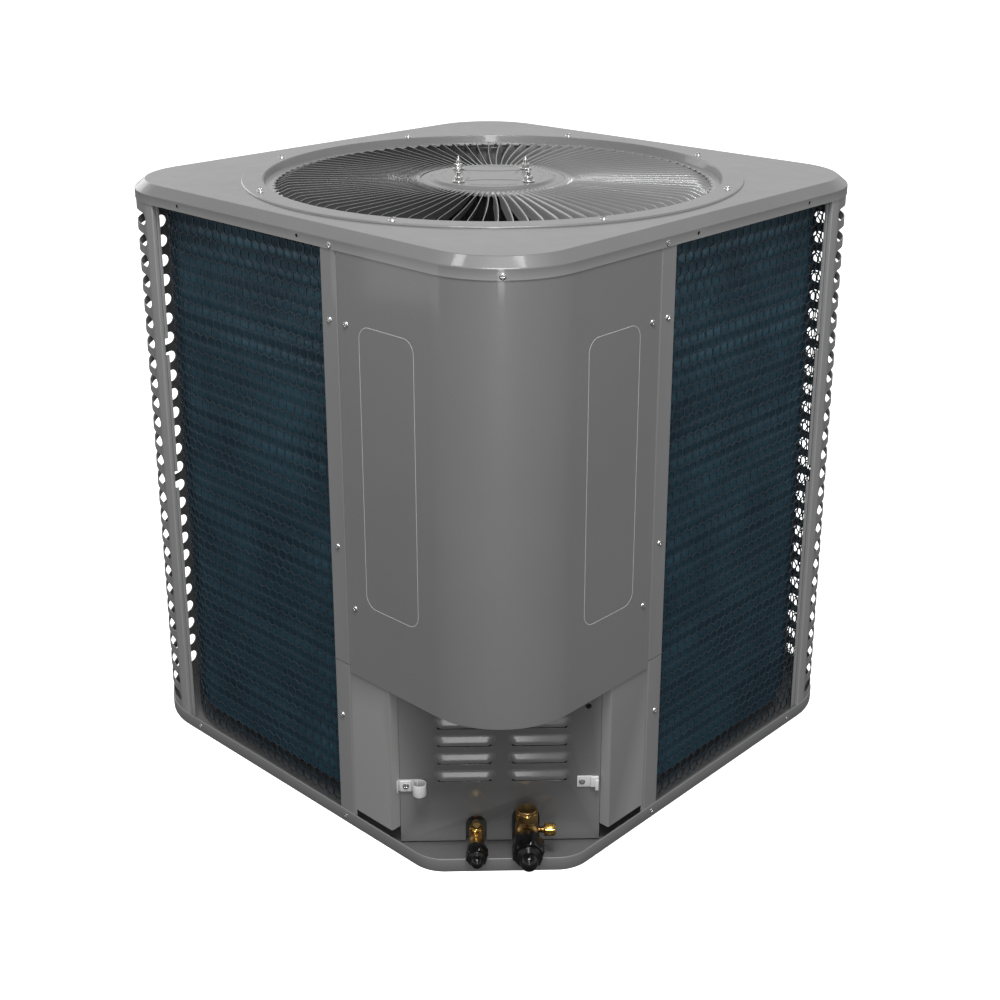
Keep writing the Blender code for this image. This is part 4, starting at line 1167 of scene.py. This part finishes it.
def screw_mesh(radius, height):
    """Pan head with a washer face and a cross recess, its foot at z 0."""
    rings, sides = 16, 48
    loops = []
    for i in range(rings + 1):
        t = 1 - i / rings
        loop = []
        for k in range(sides):
            a = 2 * pi * k / sides
            r = radius * t
            x, y = r * cos(a), r * sin(a)
            z = height * (0.42 + 0.58 * sqrt(max(0.0, 1 - t ** 2)) if t < 0.86 else
                          0.24 * smooth((1 - t) / 0.05))
            arm = min(max(abs(x), abs(y)) / (radius * 0.52), 1.0)
            slot = smooth(1 - min(abs(x), abs(y)) / (radius * 0.15)) * smooth((1 - arm) * 4)
            loop.append((x, y, z - slot * height * 0.55))
        loops.append(loop)
    loops = [circle(radius, 0.0, sides)] + loops[:-1]
    verts, faces = loft(loops, cap_low=True, cap_high=True)
    mesh = bpy.data.meshes.new("screw_head")
    mesh.from_pydata(verts, [], faces)
    return mesh


def screws():
    big, small = screw_mesh(0.0047, 0.0030), screw_mesh(0.0040, 0.0017)
    sunk = {"skirt": 0.0021, "rim": 0.0011, "rim_far": 0.0011}
    spots = []
    for k in range(8):
        a = -pi / 4 + pi / 8 + k * pi / 4
        spot = GUARD_SCREW_R * cos(a), GUARD_SCREW_R * sin(a), RING_Z
        spots.append((f"guard_screw_{k + 1}", spot, (0, 0, 1), big))
    tip = (HALF - CORNER_R) + CORNER_R / sqrt(2)
    skirt_z, rim_z = SKIRT_Z + 0.0042, 0.0085
    for k, (sx, sy) in enumerate(((1, -1), (1, 1), (-1, 1), (-1, -1))):
        corner = Vector((sx, sy, 0))
        out = corner.normalized()
        low = corner * tip - out * sunk["skirt"]
        spots.append((f"cover_corner_screw_{k + 1}", low + Vector((0, 0, skirt_z)), out, big))
        if k:
            spots.append((f"base_corner_screw_{k}", low + Vector((0, 0, rim_z)), out, big))
    sides = (("skirt", 0.092, skirt_z, big), ("rim", 0.0845, rim_z, small),
             ("rim_far", -0.218, 0.0090, small))
    for k in range(4):
        turn = Matrix.Rotation(k * pi / 2, 3, "Z")
        for tag, u, z, mesh in sides:
            spot = turn @ Vector((-u if k == 1 else u, -HALF + sunk[tag], z))
            spots.append((f"{tag}_screw_{k + 1}", spot, turn @ Vector((0, -1, 0)), mesh))
    for tag, u, levels in (("front_post", 0.0870, (0.6495, 0.375)), ("side_panel", 0.0845, (0.1515,)),
                           ("cover", 0.1145, (0.6495, 0.304))):
        for k, z in enumerate(levels):
            spots.append((f"{tag}_screw_left_{k + 1}", (u, -SKIN, z), (0, -1, 0), small))
            spots.append((f"{tag}_screw_right_{k + 1}", (SKIN, -u, z), (1, 0, 0), small))
    out = SERVICE @ Vector((1, 0, 0))
    spots.append(("clip_screw_left", service(PANEL_D + 0.0024, -0.1130, CLIP_Z), out, small))
    spots.append(("clip_screw_right", service(PANEL_D + 0.0017, 0.0982, CLIP_Z + 0.0025), out, small))
    for k, (name, spot, out, mesh) in enumerate(spots):
        copy = mesh.copy()
        copy.transform(at(spot) @ along(out) @ spin(0.7 * k))
        head = linked(name + "_visual", copy)
        finish(head, "zinc", name if name in NODES else None, sharp=50)


# ---- nodes that stay as they are

KEPT = {
    "galvanised": ("coil_end_plate_left", "coil_end_plate_right", "electrical_box", "electrical_lid"),
    "steel": ("motor_shaft",),
    "zinc": ("fan_nut",),
    "copper": ("gas_header", "discharge_pipe", "suction_pipe", "gas_pipe", "liquid_pipe", "filter_drier"),
    "brass": ("expansion_valve", "four_way_valve", "liquid_distributor"),
    # valve_bracket takes the black look as painted shade: it darkens the panel's notches in front of it.
    "enamel_and_shade": ("compressor_shell", "suction_accumulator", "valve_bracket"),
    "rubber": ("compressor_foot_1", "compressor_foot_2", "compressor_foot_3"),
    "inner_plastic": ("compressor_terminal_cover", "reversing_solenoid"),
    "board": ("control_board",),
    "sink": ("heat_sink",),
}


def kept_nodes():
    for look, names in KEPT.items():
        for name in names:
            node = NODES[name]
            for slot in node.material_slots:
                slot.material = LOOKS[look]
            if not node.material_slots:
                node.data.materials.append(LOOKS[look])


# ---- studio

def area(name, place, target, size, power):
    light = bpy.data.lights.new(name, "AREA")
    light.shape = "RECTANGLE"
    light.size, light.size_y = size
    light.energy = power
    obj = linked(name, light)
    obj.location = place
    obj.rotation_euler = (Vector(target) - Vector(place)).to_track_quat("-Z", "Y").to_euler()


def studio():
    """A dim dome with a brighter band above the horizon, soft boxes, and a pale floor lit by itself."""
    world = bpy.data.worlds.new("studio")
    bpy.context.scene.world = world
    world.use_nodes = True
    tree = world.node_tree
    back = tree.nodes["Background"].inputs["Color"]
    place = tree.nodes.new("ShaderNodeTexCoord").outputs["Generated"]
    parts = tree.nodes.new("ShaderNodeSeparateXYZ")
    tree.links.new(place, parts.inputs[0])
    height = tree.nodes.new("ShaderNodeMapRange")
    for socket, value in (("From Min", -1.0), ("From Max", 1.0)):
        height.inputs[socket].default_value = value
    tree.links.new(parts.outputs["Z"], height.inputs["Value"])
    band = tree.nodes.new("ShaderNodeValToRGB")
    tree.links.new(height.outputs["Result"], band.inputs["Fac"])
    set_stops(band.color_ramp, ((0.0, 0.07), (0.40, 0.22), (0.50, 0.50), (0.58, 0.90), (0.72, 0.84),
                                (0.80, 0.16), (1.0, 0.12)))
    tree.links.new(band.outputs["Color"], back)
    edge = 150
    corners = [(x * edge, y * edge, -0.0005) for x, y in ((-1, -1), (1, -1), (1, 1), (-1, 1))]
    ground = from_lists("studio_floor", corners, [(0, 1, 2, 3)])
    ground.visible_diffuse = False
    ground.visible_glossy = False
    pale = Look("studio_floor", 0.8, specular=0.0)
    pale.colour(pale.ramp(pale.noise(0.6), ((0.0, 0.95), (1.0, 0.96))))
    pale.set("Emission Color", (1.0, 1.0, 1.0, 1.0))
    pale.set("Emission Strength", 1.0)
    pale.material.cycles.emission_sampling = "NONE"
    ground.data.materials.append(pale.material)
    top = (0.0, 0.0, 0.75)
    area("overhead_left", service(-0.30, -1.25, 3.6), top, (0.85, 0.38), 12)
    area("overhead_right", service(0.05, 0.62, 3.6), top, (0.85, 0.38), 13)
    area("overhead_front", service(1.5, 0.0, 3.2), top, (1.4, 0.8), 109)
    area("front_strip", service(2.2, 0.0, 1.7), (0, 0, 0.45), (0.25, 1.2), 15)
    area("front_low", service(2.4, 0.0, 0.5), (0, 0, 0.45), (0.25, 0.6), 4.5)
    area("back_left", service(-2.8, -2.2, 1.4), (0, 0, 0.4), (2.0, 1.2), 14)
    area("low_left", (-1.0, -1.8, 0.35), (-0.2, -0.35, 0.12), (0.7, 0.4), 1.2)
    area("low_right", service(0.9, 3.0, 0.6), (0, 0, 0.4), (1.6, 1.0), 1.5)


def camera():
    data = bpy.data.cameras.new("camera")
    data.sensor_width = 36.0
    data.lens = 54.32
    data.shift_y = -0.12
    data.clip_end = 100
    obj = linked("camera", data)
    obj.location = (1.3296, -1.3886, 1.1145)
    obj.rotation_euler = (radians(71.58), 0, radians(43.48))
    bpy.context.scene.camera = obj


base_pan()
top_cover()
fan_guard()
motor_and_nuts()
shroud()
propeller()
corner_post("corner_post_right", 0)
corner_post("corner_post_back", 1)
corner_post("corner_post_left", 2)
front_posts()
side_panels()
service_cover()
label_frames()
valve_panel()
coil()
net()
valves()
clips()
screws()
kept_nodes()
studio()
camera()
bpy.context.scene.view_settings.view_transform = "Standard"
